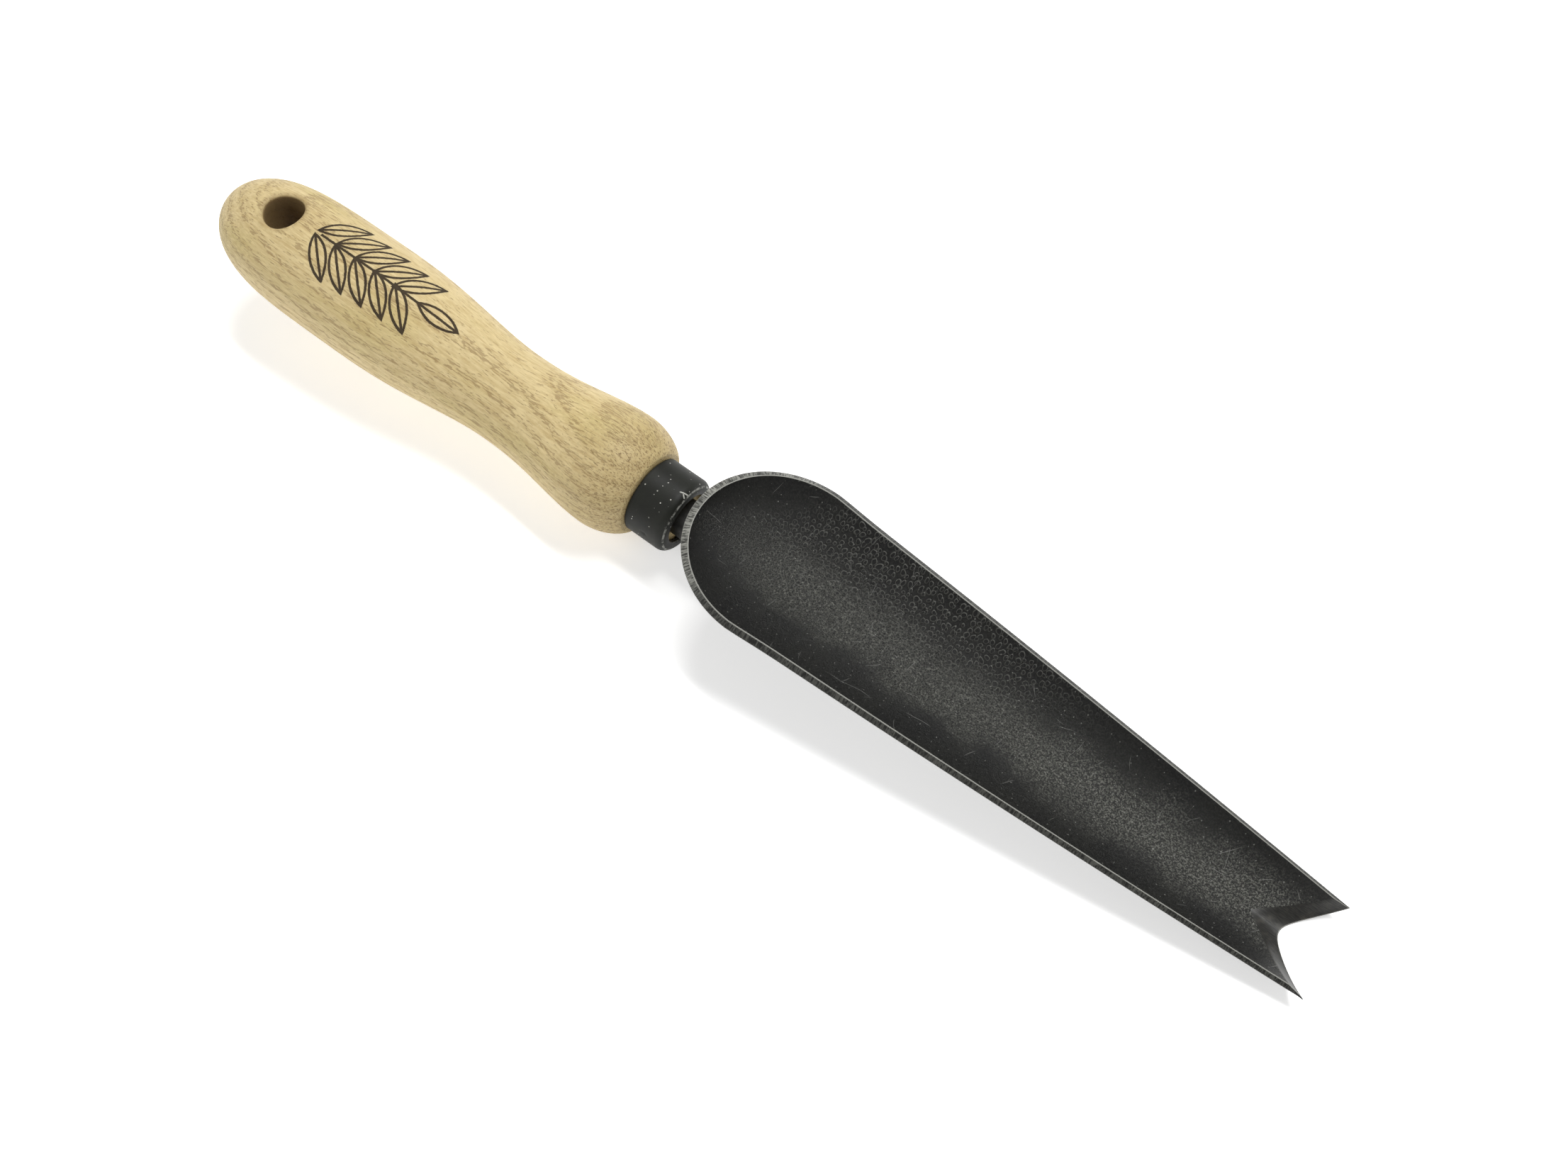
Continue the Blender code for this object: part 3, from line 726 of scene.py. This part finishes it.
def underside(x, y):
    """Height of the outside over the rim plane: an arc of the local lean, carried round."""
    ahead = np.maximum(x, 0)
    inside = half_width(ahead) - gauge(ahead) * math.sin(SIDE_LEAN)
    depth = inside * math.tan(SIDE_LEAN / 2) + gauge(ahead)
    behind = np.minimum(x, 0) / HEEL_REACH
    share = np.clip(np.hypot(behind, y / half_width(ahead)), 0, 1)
    back = behind**2 / np.maximum(share, 1e-9) ** 2
    lean = SIDE_LEAN + (HEEL_LEAN - SIDE_LEAN) * back
    drop = (np.sqrt(1 - (share * np.sin(lean)) ** 2) - np.cos(lean)) / (1 - np.cos(lean))
    rim = -gauge(ahead) * np.cos(lean)
    return rim - (depth + rim) * drop


def sheet_thickness(x, y):
    """Full gauge up to the bevel, then falling evenly to the edge's share of it."""
    back = (notch_edge(y) - x) / (notch_edge(y) - grind_edge(y))
    return gauge(x) * (EDGE_SHARE + (1 - EDGE_SHARE) * np.clip(back, 0, 1))


def sheet_point(u, v, inset, depth):
    """A point of the sheet, depth metres in from its outside, in the tool's frame.

    The normal is (-dz/dx, -dz/dy, 1), from differences of the height a hair apart,
    taken just inside the outline.
    """
    x, y = scoop_plan(u, v, inset)
    near_x, near_y = x * JUST_INSIDE, y * JUST_INSIDE
    step = SLOPE_STEP
    slope_x = (underside(near_x + step, near_y) - underside(near_x - step, near_y)) / (2 * step)
    slope_y = (underside(near_x, near_y + step) - underside(near_x, near_y - step)) / (2 * step)
    normal = np.stack([-slope_x, -slope_y, np.ones_like(x)], axis=-1)
    normal /= np.linalg.norm(normal, axis=-1, keepdims=True)
    point = np.stack([x, y, underside(x, y)], axis=-1) + normal * np.asarray(depth)[..., None]
    cosine, sine = math.cos(RIM_SLOPE), math.sin(RIM_SLOPE)
    turn = np.array([[cosine, 0, sine], [0, 1, 0], [-sine, 0, cosine]])
    return point @ turn.T + [SCOOP_AT, 0, RIM_HEIGHT]


print("deepest outside point, mm:", round(1000 * float(underside(0.0, 0.0)), 2))

# %% [markdown]
# ## The scoop's faces and its sheared rim
#
# The rim shows the full thickness of the sheet, with both corners just broken,
# and that thin bright line is what makes it read as thick steel.  The rim is a
# separate strip: it follows the outline once round, and its section goes from
# the outside, round one small corner, straight across, and round the other.

# %% Scoop patches
CORNER = 0.00022          # radius of the broken corners
HEEL_ROWS, SIDE_ROWS, COLUMNS = 40, 150, 97


def scoop_grid():
    """The u and v of the grid: heel rows, side rows and four steps across the bevel."""
    u = np.concatenate([np.linspace(-1, 0, HEEL_ROWS)[:-1], np.linspace(0, 1, SIDE_ROWS),
                        [1.25, 1.5, 1.75, 2]])
    v = np.linspace(-1, 1, COLUMNS)
    return np.meshgrid(u, v, indexing="ij")


def face_patch(depth_share, material, bevel_material):
    """The outside (share 0) or the inside (share 1), split at the bevel's border."""
    u, v = scoop_grid()
    x, y = scoop_plan(u, v, CORNER)
    points = sheet_point(u, v, CORNER, depth_share * sheet_thickness(x, y))
    uv = np.stack([x, y], axis=-1)
    split = int(np.argmax(u[:, 0] >= 1)) + 1
    return [patch(points[:split], material=material, uv=uv[:split]),
            patch(points[split - 1:], material=bevel_material, uv=uv[split - 1:])]


def outline():
    """The u and v once round the scoop: heel, +Y side, fishtail, -Y side."""
    u, v = scoop_grid()
    ahead = u[:, 0] >= 0
    side = u[ahead, 0]
    span = v[0]
    u_round = np.concatenate([np.full(len(span), -1.0), side[1:], np.full(len(span) - 2, 2.0),
                              side[:0:-1]])
    v_round = np.concatenate([span, np.full(len(side) - 1, 1.0), span[-2:0:-1],
                              np.full(len(side) - 1, -1.0)])
    return u_round, v_round


def rim_patch(material):
    """The strip across the sheet's thickness, with a quarter-round at each corner.

    Its UV is the length round the outline, and the share of the thickness in mm.
    """
    u, v = outline()
    thick = sheet_thickness(*scoop_plan(u, v, CORNER))
    corner = np.minimum(CORNER, 0.45 * thick)
    turn = np.linspace(0, math.pi / 2, 5)
    inset = [corner * (1 - math.sin(a)) for a in (*turn, *turn[::-1])]
    inset[0] = inset[-1] = np.full(len(u), CORNER)
    depth = [corner * (1 - math.cos(a)) for a in turn]
    depth += [thick - rise for rise in depth[::-1]]
    strip = np.stack([sheet_point(u, v, *ring) for ring in zip(inset, depth)], axis=1)
    steps = np.linalg.norm(np.diff(strip[:, 0], axis=0, append=strip[:1, 0]), axis=1)
    length = np.cumsum(steps) - steps
    share = 0.001 * np.stack(depth, axis=1) / thick[:, None]
    uv = np.stack([np.broadcast_to(length[:, None], share.shape), share], axis=-1)
    strip = np.concatenate([strip, strip[:1]])
    uv = np.concatenate([uv, uv[:1] + [length[-1] + steps[-1], 0]])
    return patch(strip, material=material, uv=uv)


scoop_patches = face_patch(0.0, 0, 0) + face_patch(1.0, 1, 2) + [rim_patch(3)]
print("scoop patches:", [p[0].shape[0] for p in scoop_patches])

# %% [markdown]
# ## Oil-blackened steel
#
# The scoop was heated and quenched in oil.  The oxide skin is near black and
# satin, and where the oil boiled it left rings and bubbles about a millimetre
# wide, thickest at the deep end.  Towards the tip the skin is only finely
# speckled, and handling has drawn a few hair scratches through it.  Bubbles are
# Voronoi cells at two scales: each holds a low dome with a ring round it, and the
# ring is painted bright as a highlight on the bubble's rim.  Along the trough's
# middle a pale band of highlight is painted too.

# %% Finishes of the scoop
SCRATCH_BEND = 0.006      # how far a hairline wanders, in metres
SCRATCH_KEEP = 0.66       # the chance that a stretch must pass to show
SCRATCHES = ((35, 110, 0.31), (-28, 130, 0.77), (78, 120, 1.93), (8, 150, 2.71), (52, 140, 3.37))
COARSE_BUBBLES, FINE_BUBBLES = 690, 1080        # cells in a metre
BUBBLE_LEAST, BUBBLE_SPREAD = 0.27, 0.16        # a bubble's radius, in cells
BAND_AT, BAND_HALF_WIDTH = 0.0080, 0.0115       # the painted highlight band along the trough


def scratches(tree, vector, angle, scale, seed):
    """Sparse hairlines: bent parallel lines, each kept only in short stretches by chance.

    Line number = floor(scale x); a stretch shows where a noise of that number and of
    the length along the line is high, and it thins towards both of its ends.
    """
    turned = add(tree, "Mapping", {"Vector": vector, "Rotation": (0, 0, math.radians(angle)),
                                   "Location": (seed, seed * 0.7, 0)}).outputs["Vector"]
    bent = noise(tree, turned, 90, 1.0)
    parts = add(tree, "SeparateXYZ", {"Vector": turned})
    moved = sums(tree, "MULTIPLY_ADD", bent, SCRATCH_BEND, parts.outputs["X"])
    column = product(tree, moved, scale)
    line = sums(tree, "ABSOLUTE", sums(tree, "SUBTRACT", sums(tree, "FRACT", column), 0.5))
    cell = add(tree, "CombineXYZ", {"X": product(tree, sums(tree, "FLOOR", column), 7.31),
                                    "Y": product(tree, parts.outputs["Y"], 150)})
    chance = add(tree, "TexNoise", {"Vector": cell.outputs["Vector"], "Scale": 1.0,
                                    "Detail": 0.0}).outputs["Fac"]
    shown = ramp(tree, chance, SCRATCH_KEEP, SCRATCH_KEEP + 0.10)
    thin = ramp(tree, line, 0.011, 0.003)
    return product(tree, thin, shown)


def scoop_coordinates(tree):
    """The scoop's own plan lengths, read from its UV map."""
    uv = add(tree, "UVMap", uv_map="surface").outputs["UV"]
    parts = add(tree, "SeparateXYZ", {"Vector": uv})
    return uv, parts.outputs["X"], parts.outputs["Y"]


def bubbles(tree, vector, scale):
    """(ring, dome) of one size of bubble: Voronoi cells, each with a disc of its own radius.

    The ring is where the distance to the cell's centre is close to that radius; it
    is painted bright as a highlight on the bubble's rim, and the dome rises inside it.
    """
    bend = add(tree, "TexNoise", {"Vector": vector, "Scale": scale * 0.5, "Detail": 2.0})
    moved = add(tree, "VectorMath", {0: bend.outputs["Color"], 1: [1.1 / scale] * 3,
                                     2: vector}, operation="MULTIPLY_ADD").outputs["Vector"]
    cells = add(tree, "TexVoronoi", {"Vector": moved, "Scale": scale, "Randomness": 0.62},
                voronoi_dimensions="2D")
    chance = add(tree, "SeparateColor", {"Color": cells.outputs["Color"]}).outputs["Red"]
    distance = cells.outputs["Distance"]
    radius = sums(tree, "MULTIPLY_ADD", chance, BUBBLE_SPREAD, BUBBLE_LEAST)
    off = sums(tree, "SUBTRACT", distance, radius)
    ring = ramp(tree, sums(tree, "ABSOLUTE", off), 0.10, 0.03)
    return ring, ramp(tree, off, 0.04, -0.10)


def oil_black(name, worked_side):
    """The scoop's skin; worked_side is 1 inside, where the bubbles are, and 0 outside."""
    material, tree, shader = new_finish(name, 0.42, Specular_IOR_Level=0.34)[:3]
    uv, x, y = scoop_coordinates(tree)
    cloud = noise(tree, uv, 75, 3.0)
    reach = sums(tree, "MULTIPLY_ADD", cloud, 0.05, x)
    toward = sums(tree, "MULTIPLY_ADD", cloud, 0.014, y)
    from_heel = sums(tree, "MULTIPLY_ADD", y, -1.2, x)
    zone = product(tree, ramp(tree, reach, 0.118, 0.060), ramp(tree, toward, -0.004, 0.007),
                   ramp(tree, from_heel, -0.029, -0.015), float(worked_side))

    coarse_ring, coarse_dome = bubbles(tree, uv, COARSE_BUBBLES)
    fine_ring, fine_dome = bubbles(tree, stretched(tree, uv, (1, 1, 1), (0.3, 0.2, 0)),
                                  FINE_BUBBLES)
    pick = ramp(tree, sums(tree, "MULTIPLY_ADD", y, -13.0, noise(tree, uv, 130, 2.0)), 0.38, 0.52)
    ring = add(tree, "Mix", {0: pick, 2: coarse_ring, 3: fine_ring}).outputs[0]
    dome = add(tree, "Mix", {0: pick, 2: coarse_dome, 3: fine_dome}).outputs[0]

    grit = noise(tree, uv, 2300, 4.0, 0.8)
    dapple = noise(tree, uv, 950, 3.0, 0.7)
    off_middle = sums(tree, "ABSOLUTE", sums(tree, "SUBTRACT", toward, BAND_AT))
    painted_highlight_band = product(tree, ramp(tree, off_middle, BAND_HALF_WIDTH, 0.001),
                   ramp(tree, x, -0.022, 0.004))
    dots = add(tree, "TexVoronoi", {"Vector": uv, "Scale": 420}, voronoi_dimensions="2D").outputs
    sizes = add(tree, "SeparateColor", {"Color": dots["Color"]}).outputs["Red"]
    specks = ramp(tree, sums(tree, "MULTIPLY_ADD", sizes, -0.075, dots["Distance"]), 0.0, -0.02)
    hairs = 0.0
    for angle, scale, seed in SCRATCHES:
        hairs = sums(tree, "MAXIMUM", hairs, scratches(tree, uv, angle, scale, seed))

    bright_grit = ramp(tree, sums(tree, "MULTIPLY_ADD", dapple, 0.35, grit), 0.62, 0.82)
    colour = painted(tree, (0.0036, 0.0037, 0.0036), [
        (ramp(tree, cloud, 0.3, 0.7), 1, (0.0070, 0.0071, 0.0058)),
        (bright_grit, 0.55, (0.030, 0.030, 0.027)),
        # Painted highlight: a pale band along the trough's middle, where the key light's
        # reflection runs.
        (product(tree, painted_highlight_band, bright_grit), 0.8, (0.185, 0.187, 0.162)),
        (product(tree, zone, dome), 0.6, (0.0035, 0.0035, 0.0035)),
        # Painted highlight: each bubble's raised rim is painted bright.
        (product(tree, zone, ring), 0.85, (0.100, 0.101, 0.090)),
        (specks, 0.55, (0.26, 0.26, 0.24)),
        (hairs, 0.5, (0.24, 0.24, 0.225))])
    tree.links.new(colour, shader.inputs["Base Color"])

    tree.links.new(sums(tree, "MULTIPLY_ADD", dapple, 0.30, 0.32), shader.inputs["Roughness"])
    swell = product(tree, zone, sums(tree, "MULTIPLY_ADD", ring, 0.5, dome))
    under = bumped(tree, shader, swell, 1.0, 0.00020)
    grain = sums(tree, "MULTIPLY_ADD", dapple, 0.8, grit)
    bumped(tree, shader, grain, 0.9, 0.00022, below=under)
    return material


HEEL_MIDDLE = 0.040       # about the middle of the heel, in metres round the rim


def sheared_edge():
    """The rim: cut through the blackened sheet, marked across, with painted highlight along its
    corners.

    Its UV is in metres round the outline, from the widest point of the -Y side round
    the heel, and one millimetre across the sheet.  The heel's marks are the brightest.
    """
    material, tree, shader = new_finish("sheared_rim", 0.50, Specular_IOR_Level=0.3)[:3]
    uv, along, across = scoop_coordinates(tree)
    marks = noise(tree, stretched(tree, uv, (2600, 900, 1)), 1.0, 3.0, 0.6)
    long_wave = noise(tree, stretched(tree, uv, (160, 1, 1)), 1.0, 2.0)
    cut = ramp(tree, marks, 0.38, 0.62)
    heel = sums(tree, "ABSOLUTE", sums(tree, "SUBTRACT", along, HEEL_MIDDLE))
    heel = ramp(tree, heel, 0.036, 0.020)
    # Painted highlight: bright lines along both corners of the rim, the inner one stronger.
    inner = product(tree, ramp(tree, across, 0.00083, 0.00092), 0.85)
    outer = product(tree, ramp(tree, across, 0.00010, 0.00003), 0.45)
    colour = painted(tree, (0.006, 0.006, 0.0052), [
        (cut, 1, (0.066, 0.066, 0.058)),
        (heel, 1, (0.040, 0.040, 0.036)),
        (product(tree, heel, cut), 1, (0.290, 0.290, 0.260)),
        (ramp(tree, long_wave, 0.35, 0.7), 0.5, (0.014, 0.014, 0.012)),
        (sums(tree, "MAXIMUM", inner, outer), 1, (0.27, 0.27, 0.245))])
    tree.links.new(colour, shader.inputs["Base Color"])
    bumped(tree, shader, marks, 0.8, 0.00008)
    return material


def ground_bevel():
    """The ground fishtail: fine lines square to the edge, then blackened over."""
    material, tree, shader = new_finish("ground_bevel", 0.40, 0.2)[:3]
    uv = scoop_coordinates(tree)[0]
    lines = noise(tree, stretched(tree, uv, (500, 6000, 1)), 1.0, 2.0)
    cloud = noise(tree, uv, 420, 3.0)
    colour = painted(tree, (0.012, 0.0118, 0.0105), [
        (ramp(tree, lines, 0.35, 0.7), 1, (0.036, 0.035, 0.031)),
        (ramp(tree, cloud, 0.5, 0.75), 1, (0.046, 0.043, 0.036))])
    tree.links.new(colour, shader.inputs["Base Color"])
    bumped(tree, shader, lines, 0.4, 0.00004)
    return material


make_piece("pressed_scoop", scoop_patches,
           [oil_black("oil_black_outside", 0), oil_black("oil_black_inside", 1),
            ground_bevel(), sheared_edge()],
           replaces=["blade"], crease=28)

# %% [markdown]
# ## The forged tang
#
# One bar holds the whole tool together.  Its spike is buried in the wood, its
# neck crosses the ferrule's mouth, and its tongue flattens out under the scoop.
# A forged bar has no true corners, so its section is a superellipse, which sits
# between a rectangle and an oval, and its size changes along the bar.

# %% Tang surface
NECK_WIDTH, NECK_HEIGHT = 0.0092, 0.0068
TONGUE_WIDTH, TONGUE_REACH, TONGUE_END = 0.0125, 0.031, 0.0024
SPIKE_LENGTH, SPIKE_END = 0.072, 0.0036
WELD_START, WELD_RADIUS, WELD_SINK = -0.009, 0.0015, 0.55
PUDDLE, PUDDLE_DRIFT = 0.0013, 0.0041
CORNER_POWER = 0.42
SPIKE_ROWS, TONGUE_ROWS, TIP_ROWS, BAR_SIDES = 12, 70, 14, 64
TIP_TURN = math.radians(84)   # the tongue's half-round end stops short of a point
WELD_ROWS, WELD_SIDES = 360, 28


def tool_height(x, y):
    """Height over the handle axis of the scoop's underside."""
    return RIM_HEIGHT + underside(x, y) * math.cos(RIM_SLOPE) - x * math.sin(RIM_SLOPE)


def superellipse(centre_z, half_y, half_z, angles):
    """|cos|^p and |sin|^p with their signs, p = CORNER_POWER: a rectangle with round corners."""
    cosine, sine = np.cos(angles), np.sin(angles)
    y = half_y[:, None] * np.sign(cosine) * np.abs(cosine) ** CORNER_POWER
    z = centre_z[:, None] + half_z[:, None] * np.sign(sine) * np.abs(sine) ** CORNER_POWER
    return y, z


def tang_patches():
    """The bar's sections, from the spike's point to the tongue's round end."""
    straight = TONGUE_REACH - TONGUE_WIDTH / 2
    tip_turn = np.linspace(0, TIP_TURN, TIP_ROWS)[1:]
    reach = np.concatenate([np.linspace(-HEEL_REACH, straight, TONGUE_ROWS),
                            straight + TONGUE_WIDTH / 2 * np.sin(tip_turn)])
    share = np.clip((reach + HEEL_REACH) / (TONGUE_REACH + HEEL_REACH), 0, 1)
    lowest = np.min([tool_height(reach - back, 0.0 * reach) for back in (0, 0.002, 0.004)], axis=0)
    top = np.minimum(NECK_HEIGHT / 2, lowest - FIT_GAP)
    top = np.where(reach < -0.8 * HEEL_REACH, NECK_HEIGHT / 2, top)
    bottom = -NECK_HEIGHT / 2 + (top - TONGUE_END + NECK_HEIGHT / 2) * share**3
    spread = np.clip((reach + HEEL_REACH) / (WELD_START + HEEL_REACH), 0, 1)
    half_y = (NECK_WIDTH + (TONGUE_WIDTH - NECK_WIDTH) * blend_step(spread)) / 2
    half_y[-len(tip_turn):] *= np.cos(tip_turn)
    spike = np.linspace(0, 1, SPIKE_ROWS)
    spike_half = (SPIKE_END + (NECK_WIDTH - SPIKE_END) * spike) / 2
    spike_rise = (SPIKE_END + (NECK_HEIGHT - SPIKE_END) * spike) / 2
    place = np.concatenate([FERRULE_END - SPIKE_LENGTH * (1 - spike), SCOOP_AT + reach])
    half_y = np.concatenate([spike_half, half_y])
    half_z = np.concatenate([spike_rise, (top - bottom) / 2])
    middle = np.concatenate([0 * spike, (top + bottom) / 2])
    angles = np.linspace(0, 2 * math.pi, BAR_SIDES, endpoint=False)
    y, z = superellipse(middle, half_y, half_z, angles)
    skin = np.stack([np.broadcast_to(place[:, None], y.shape), y, z], axis=-1)
    ends = [np.stack([skin[i], np.broadcast_to(skin[i].mean(axis=0), skin[i].shape)])
            for i in (0, -1)]
    return [patch(skin, closed=True)] + [patch(end, closed=True) for end in ends]


forged = black_steel("blackened_forged_steel", 0.46, (0.010, 0.010, 0.009), 0.10, 0.4)
make_piece("forged_tang", tang_patches(), [forged], replaces=["tang"])

# %% [markdown]
# ## The weld
#
# A bead runs along both sides of the tongue and round its end.  A weld is laid
# in small overlapping puddles, so the bead swells and pinches every millimetre
# or so.  It is a tube carried along the joint, flattened against the scoop and
# with a ripple in its radius.

# %% Weld surface
def weld_path(count):
    """Points of the joint: straight, a half-round about the tongue's end, straight back."""
    side = TONGUE_WIDTH / 2 + FIT_GAP + WELD_SINK * WELD_RADIUS
    corner = TONGUE_REACH - TONGUE_WIDTH / 2
    run = corner - WELD_START
    length = np.linspace(0, 2 * run + math.pi * side, count)
    turn = np.clip((length - run) / side, 0, math.pi) - math.pi / 2
    before = WELD_START + np.minimum(length, run)
    after = corner - np.maximum(length - run - math.pi * side, 0)
    x = np.where(length < run, before, after + side * np.cos(turn))
    y = side * np.sin(turn)
    z = tool_height(x, y) - WELD_SINK * WELD_RADIUS
    return np.stack([x + SCOOP_AT, y, z], axis=-1), length


def weld_patches():
    """A tube about the path: radius = r (0.86 + 0.14 |sin|), with rounded ends."""
    path, length = weld_path(WELD_ROWS)
    ahead = np.gradient(path, axis=0)
    ahead /= np.linalg.norm(ahead, axis=1, keepdims=True)
    side = np.cross(ahead, [0, 0, 1.0])
    side /= np.linalg.norm(side, axis=1, keepdims=True)
    up = np.cross(side, ahead)
    angles = np.linspace(0, 2 * math.pi, WELD_SIDES, endpoint=False)
    puddle = np.abs(np.sin(math.pi * length / PUDDLE + 0.6 * np.sin(length / PUDDLE_DRIFT)))
    to_end = np.minimum(length, length[-1] - length) / WELD_RADIUS
    cap = np.sqrt(1 - (1 - np.clip(to_end, 0, 1)) ** 2)
    radius = (WELD_RADIUS * (0.86 + 0.14 * puddle) * cap)[:, None, None]
    skin = path[:, None] + radius * (np.cos(angles)[:, None] * side[:, None]
                                     + np.sin(angles)[:, None] * up[:, None])
    return [patch(skin, closed=True)]


weld_steel = black_steel("weld_skin", 0.45, (0.020, 0.020, 0.0185), 0.13, 0.9)
make_piece("weld_seam", weld_patches(), [weld_steel], replaces=["weld_bead"])

# %% [markdown]
# ## Floor, light and camera
#
# Dark satin steel shows mostly what it reflects.  One long soft light stands so
# that the trough's floor throws it at the camera, which draws the pale band
# along the middle, over a band of highlight painted into the scoop's colour.  A
# second, weaker light fills the near side.  The sky is bright at the horizon and
# dimmer overhead, so the trough stays dark.  The floor glows like a light table,
# more the farther it is from the tool, and the plain display transform keeps it
# white.

# %% Stage
FLOOR_HALF_WIDTH = 6.0
GLOW_NEAR, GLOW_FAR = 0.45, 0.90        # the floor's glow, half a metre and two metres away


def make_floor():
    """A large pale sheet, level at the ground, lit a little from behind like a light table."""
    mesh = bpy.data.meshes.new("studio_floor")
    edge = FLOOR_HALF_WIDTH
    mesh.from_pydata([(-edge, -edge, 0), (edge, -edge, 0), (edge, edge, 0), (-edge, edge, 0)],
                     [], [(0, 1, 2, 3)])
    floor = bpy.data.objects.new("studio_floor", mesh)
    bpy.context.scene.collection.objects.link(floor)
    material = bpy.data.materials.new("pale_floor")
    material.use_nodes = True
    tree = material.node_tree
    shader = tree.nodes["Principled BSDF"]
    shader.inputs["Base Color"].default_value = (0.96, 0.96, 0.955, 1)
    shader.inputs["Roughness"].default_value = 0.9
    shader.inputs["Specular IOR Level"].default_value = 0.1
    shader.inputs["Emission Color"].default_value = (1, 1, 1, 1)
    place = add(tree, "TexCoord").outputs["Object"]
    away = add(tree, "VectorMath", {"Vector": place}, operation="LENGTH").outputs["Value"]
    glow = add(tree, "MapRange", {"Value": away, "From Min": 0.5, "From Max": 2.0,
                                  "To Min": GLOW_NEAR, "To Max": GLOW_FAR}).outputs["Result"]
    tree.links.new(glow, shader.inputs["Emission Strength"])
    mesh.materials.append(material)
    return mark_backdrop(floor)


def soft_light(name, place, aim, size, watts):
    """An area light, size metres wide and high, at place and facing aim."""
    data = bpy.data.lights.new(name, "AREA")
    data.shape = "RECTANGLE"
    data.size, data.size_y = size
    data.energy = watts
    lamp = bpy.data.objects.new(name, data)
    bpy.context.scene.collection.objects.link(lamp)
    way = mathutils.Vector(aim) - mathutils.Vector(place)
    lamp.location = place
    lamp.rotation_euler = way.to_track_quat("-Z", "Y").to_euler()
    return lamp


make_floor()
soft_light("key_over_trough", (0.10, 0.41, 1.12), (0.04, 0, 0), (1.1, 0.20), 15)
soft_light("fill_from_front", (-0.7, -1.0, 1.3), (-0.05, 0, 0), (0.9, 0.9), 6)

world = bpy.data.worlds.new("studio_sky")
world.use_nodes = True
sky = world.node_tree.nodes["Background"]
sky.inputs["Color"].default_value = (1.0, 1.0, 0.99, 1)
way = add(world.node_tree, "TexCoord").outputs["Generated"]
height = add(world.node_tree, "SeparateXYZ", {"Vector": way}).outputs["Z"]
wall = add(world.node_tree, "MapRange", {"Value": height, "From Min": 0.10, "From Max": 0.50,
                                         "To Min": 1.0, "To Max": 0.20})
world.node_tree.links.new(wall.outputs["Result"], sky.inputs["Strength"])
bpy.context.scene.world = world
bpy.context.scene.view_settings.view_transform = "Standard"

# %% Camera
CAMERA_PLACE = (0.154457, -0.147255, 0.361860)
CAMERA_TURN = (29.5517, 2.787, 37.7289)       # degrees about X, Y and Z
camera_data = bpy.data.cameras.new("camera")
camera_data.sensor_width = 36.0
camera_data.lens = 39.06
camera_data.clip_start = 0.01
camera = bpy.data.objects.new("camera", camera_data)
bpy.context.scene.collection.objects.link(camera)
camera.location = CAMERA_PLACE
camera.rotation_euler = [math.radians(angle) for angle in CAMERA_TURN]
bpy.context.scene.camera = camera
print("camera at, m:", CAMERA_PLACE)
